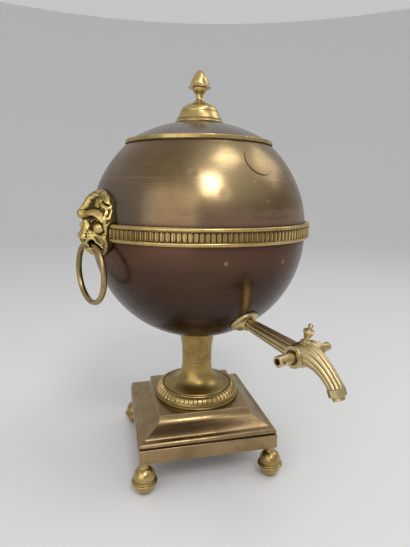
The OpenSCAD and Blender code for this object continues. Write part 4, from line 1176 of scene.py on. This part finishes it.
# %% Cuts
cuts = [  # points, half width, depth
    ([(10, 42.6), (12.2, 39.4), (14.4, 36.4), (16.4, 34.2)], 1.9, 3.0),
    ([(17.6, 39), (20.4, 37.6), (23.8, 35.5)], 1.0, 3.4),
    ([(25.2, 31.4), (25.9, 28.8), (26.2, 26)], 0.9, 3.0),
    ([(28, 22), (27.1, 19.4)], 0.9, 2.6),
    ([(6.2, 18), (6.4, 13), (8, 8.6), (8.6, 6.6)], 1.3, 1.2),
    ([(6.6, 9.6), (8.2, 7.6), (8.6, 5.2)], 0.45, 0.7),
    ([(8.8, 9.8), (10.6, 7.6), (11, 5.4)], 0.45, 0.6),
    ([(2.6, 2.2), (5.6, 2.8), (9.6, 3.4)], 0.5, 0.7),
    ([(2.8, 0.6), (5.8, 0.9), (9.2, 1.6)], 0.5, 0.7),
    ([(0, 3.2), (0, 1.2)], 0.5, 0.6),
    ([(0, -2.2), (4, -2.8), (8.4, -4)], 0.8, 1.4),
    ([(24.9, 20), (26.2, 15.6), (25.6, 10.4)], 0.5, 1.0),
    ([(2.8, 24.6), (3.6, 21.6), (5.2, 19.4)], 0.8, 0.8),
]


def carving(a, z):
    """All that stands on the big forms or is cut into them."""
    raised = np.zeros(a.shape)
    for points, width, height, hair in locks + beard + lids:
        raised = np.maximum(raised, ridge(a, z, points, width, height, hair))
    eye = 1 - ((a - eye_y) / 4.6) ** 2 - ((z - eye_z + 0.3) / 2.9) ** 2
    raised = np.maximum(raised, 1.7 * np.sqrt(np.clip(eye, 0, 1)))
    wing = 1 - ((a - 5.2) / 2.6) ** 2 - ((z - 6.8) / 2.6) ** 2
    raised += 1.0 * np.sqrt(np.clip(wing, 0, 1))
    for points, width, depth in cuts:
        raised -= groove(a, z, points, width, depth)
    raised -= 1.2 * hump(a, eye_y, 0.8) * hump(z, eye_z, 0.8)
    raised -= 1.6 * hump(a, 3.2, 1.1) * hump(z, 4, 1.0)
    return raised


print(len(cuts), "cuts on each side")


# %% [markdown]
# ## The mask takes its shape
#
# The sheet is a grid of rows and columns. Each point gets a height from the
# forms and the carving, and then its place on the globe. The ring needs room
# to swing, so a raised lip follows the edge of the hole that it sweeps, and
# the hole itself is cut out afterwards with a shape swept by the same ring.

# %% The sheet laid on the globe
rows, columns = 230, 190
ring_gap, channel_half = 4.0, 21
swing_in, swing_out = -102, 0


def ring_drop(y):
    """How far the ring's centre line hangs below its top, at y across."""
    return ring_r - np.sqrt(ring_r**2 - np.minimum(np.abs(y), channel_half) ** 2)


s, t = np.meshgrid(np.linspace(0, 1, rows + 1), np.linspace(-1, 1, columns + 1), indexing="ij")
z = mask_low + mask_tall * (s - 0.048 * np.sin(2 * np.pi * s))
y = table(z, outline) * t
a = np.abs(y)
form, aside, dome = big_forms(a, z)
rise = mask_z + z
level = np.maximum(0, rise - high_centre) + np.minimum(0, rise - low_centre)
globe = np.sqrt(globe_r**2 - y**2 - level**2)
print("sheet of", rows, "by", columns, "cells, forms up to", round(float(form.max()), 1), "mm")

# %% The lip, and all the heights together
lip_tall, lip_wide, lip_low = 1.6, 1.2, -4
thin_edge, back_stand = 1.2, 0.12
drop = ring_drop(y)
out, up = globe + form - ring_x, rise - pivot_z
swing = np.degrees(np.arctan2(up, out))
swept = (swing > swing_in) & (swing < swing_out)
ends = [np.hypot(out - drop * math.cos(math.radians(e)), up - drop * math.sin(math.radians(e)))
        for e in (swing_in, swing_out)]
from_hole = np.where(swept, np.abs(np.hypot(out, up) - drop), np.minimum(*ends)) - ring_gap
near_hole = hump(from_hole, lip_wide, lip_wide) * np.exp(-((a / channel_half) ** 4)) * (z > lip_low)
mouth_lip = lip_tall * near_hole
height = np.maximum(thin_edge, form + mouth_lip + carving(a, z) * np.clip(3 * dome, 0, 1))
height += 0.8 * aside**4 * np.cos(16 * np.arctan2(a, z - 16)) * np.clip((z - mask_low) / 12, 0, 1)
hollow = blurred(height, 9) - height
print("mask stands out", round(float(height.max()), 1), "mm")

# %% The mask as a closed shape
bpy.ops.object.select_all(action="DESELECT")
bpy.ops.mesh.primitive_grid_add(x_subdivisions=columns, y_subdivisions=rows, size=2)
mask = bpy.context.object
start_edit(mask)
bpy.ops.mesh.select_all(action="SELECT")
bpy.ops.mesh.extrude_region_move(TRANSFORM_OT_translate={"value": (0, 0, 1)})
end_edit()

flat = np.empty(3 * len(mask.data.vertices))
mask.data.vertices.foreach_get("co", flat)
flat = flat.reshape(-1, 3)
column = np.rint((flat[:, 0] + 1) / 2 * columns).astype(int)
row = np.rint((flat[:, 1] + 1) / 2 * rows).astype(int)
front = flat[:, 2] > 0.5
stand = np.where(front, height[row, column], back_stand)
placed = np.stack([globe[row, column] + stand, y[row, column], rise[row, column]], axis=1) * mm
mask.data.vertices.foreach_set("co", placed.astype(np.float32).ravel())
face_outwards(mask)
print("sheet:", len(mask.data.vertices), "points")

# %% Outline of what the ring sweeps
loop_out, loop_cap, loop_in = 16, 9, 8


def round_end(drop, end, turns):
    """Points of the tube's round section at one end of its swing."""
    return [(drop * math.cos(end) + ring_gap * math.cos(end + turn),
             drop * math.sin(end) + ring_gap * math.sin(end + turn)) for turn in turns]


def swept_section(drop):
    """Outline of what the ring's tube sweeps, at one distance across the mouth."""
    first, last = math.radians(swing_in), math.radians(swing_out)
    middle = (first + last) / 2 + math.pi
    points = [((drop + ring_gap) * math.cos(t), (drop + ring_gap) * math.sin(t))
              for t in np.linspace(first, last, loop_out)]
    if drop < ring_gap:
        aside = drop * math.sin(middle - last)
        meet = drop * math.cos(middle - last) + math.sqrt(ring_gap**2 - aside**2)
        corner = (meet * math.cos(middle), meet * math.sin(middle))
        inner = [corner] * loop_in
        stop = math.atan2(corner[1] - drop * math.sin(last), corner[0] - drop * math.cos(last))
    else:
        inner = [((drop - ring_gap) * math.cos(t), (drop - ring_gap) * math.sin(t))
                 for t in np.linspace(last, first, loop_in)]
        stop = math.pi + last
    turns = [(stop - last) * n / loop_cap for n in range(1, loop_cap)]
    cap = round_end(drop, last, turns)
    back = round_end(drop, first, [-turn for turn in reversed(turns)])
    return points + cap + inner + back


loop_sides = len(swept_section(1.0))
print("swept outline:", loop_sides, "points")


# %% The mouth that the ring swings in
def channel_form(angle, part):
    across = channel_half * (2 * part - 1)
    number = round(angle / (2 * math.pi) * loop_sides) % loop_sides
    x, z = swept_section(float(ring_drop(across)))[number]
    return ring_x + x, across, pivot_z + z


channel = sleeve("channel", 40, loop_sides, channel_form)
start_edit(channel)
bpy.ops.mesh.select_all(action="SELECT")
bpy.ops.mesh.remove_doubles(threshold=weld)
bpy.ops.mesh.normals_make_consistent(inside=False)
end_edit()
cut_away(mask, channel)
print("mask:", len(mask.data.polygons), "faces")

# %% How deep each place of the mask lies, for its painted shade and dust
flat = np.empty(3 * len(mask.data.vertices))
mask.data.vertices.foreach_get("co", flat)
flat = flat.reshape(-1, 3) / mm
at_z = np.clip(flat[:, 2] - mask_z, z[0, 0], z[-1, 0])
row = np.rint(np.interp(at_z, z[:, 0], np.arange(rows + 1))).astype(int)
side = np.clip(flat[:, 1] / np.maximum(table(at_z, outline), 0.1), -1, 1)
column = np.rint((side + 1) / 2 * columns).astype(int)
sunk = mask.data.attributes.new("hollow", "FLOAT", "POINT")
sunk.data.foreach_set("value", hollow[row, column].astype(np.float32))
print("hollows up to", round(float(hollow.max()), 1), "mm deep")

# %% One mask on each side
other = copy_of(mask, lambda p: Vector((-p.x, -p.y, p.z)))
mask.name, other.name = "lion_right", "lion_left"
for piece, node in ((mask, "mask_right"), (other, "mask_left")):
    finish_piece(piece, mask_brass, "urn", angle=50)
    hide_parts(node)

# %% [markdown]
# ## The studio
#
# Metal shows what stands round it more than its own colour, so a small studio
# needs care. The floor rises into a wide bowl, which gives every side
# of the urn something pale and even to mirror. One small soft box makes the
# bright patch on the shoulder, and three weak ones fill in.

# %% Floor and world
floor_r = 2500
pale = (0.8, 0.8, 0.8)
floor = turned("floor", [(0, 0), (floor_r, 0), *arc((floor_r, floor_r), floor_r, -85, -5, 16)], sides=64)
bpy.ops.object.shade_smooth()
floor.data.materials.append(Graph("pale_floor").finish(base_color=pale, roughness=0.9))

world = bpy.data.worlds.new("studio")
bpy.context.scene.world = world
world.use_nodes = True
sky = world.node_tree.nodes["Background"]
sky.inputs["Color"].default_value = (*pale, 1)
sky.inputs["Strength"].default_value = 0.7
bpy.context.scene.view_settings.view_transform = "Standard"
print("floor", 2 * floor_r / 1000, "m across")

# %% Soft boxes
globe_middle = Vector((0, 0, 0.27))
lamp_away = 1.6


def soft_box(name, direction, width, height, watts):
    """A rectangular lamp that stands in a given direction from the globe and faces it."""
    place = globe_middle + Vector(direction).normalized() * lamp_away
    bpy.ops.object.light_add(type="AREA", location=place)
    lamp = bpy.context.object
    lamp.name = name
    lamp.data.shape = "RECTANGLE"
    lamp.data.size = width
    lamp.data.size_y = height
    lamp.data.energy = watts
    lamp.rotation_euler = (globe_middle - place).to_track_quat("-Z", "Y").to_euler()
    print(name, watts, "W")


soft_box("window", (-0.23, -0.66, 0.72), 0.36, 0.5, 7)
soft_box("sky", (0.19, -0.34, 0.92), 0.6, 0.4, 2.4)
soft_box("left", (-0.9, -0.45, 0.3), 1.5, 1.5, 8)
soft_box("right", (0.74, -0.18, 0.64), 0.8, 0.6, 2.4)
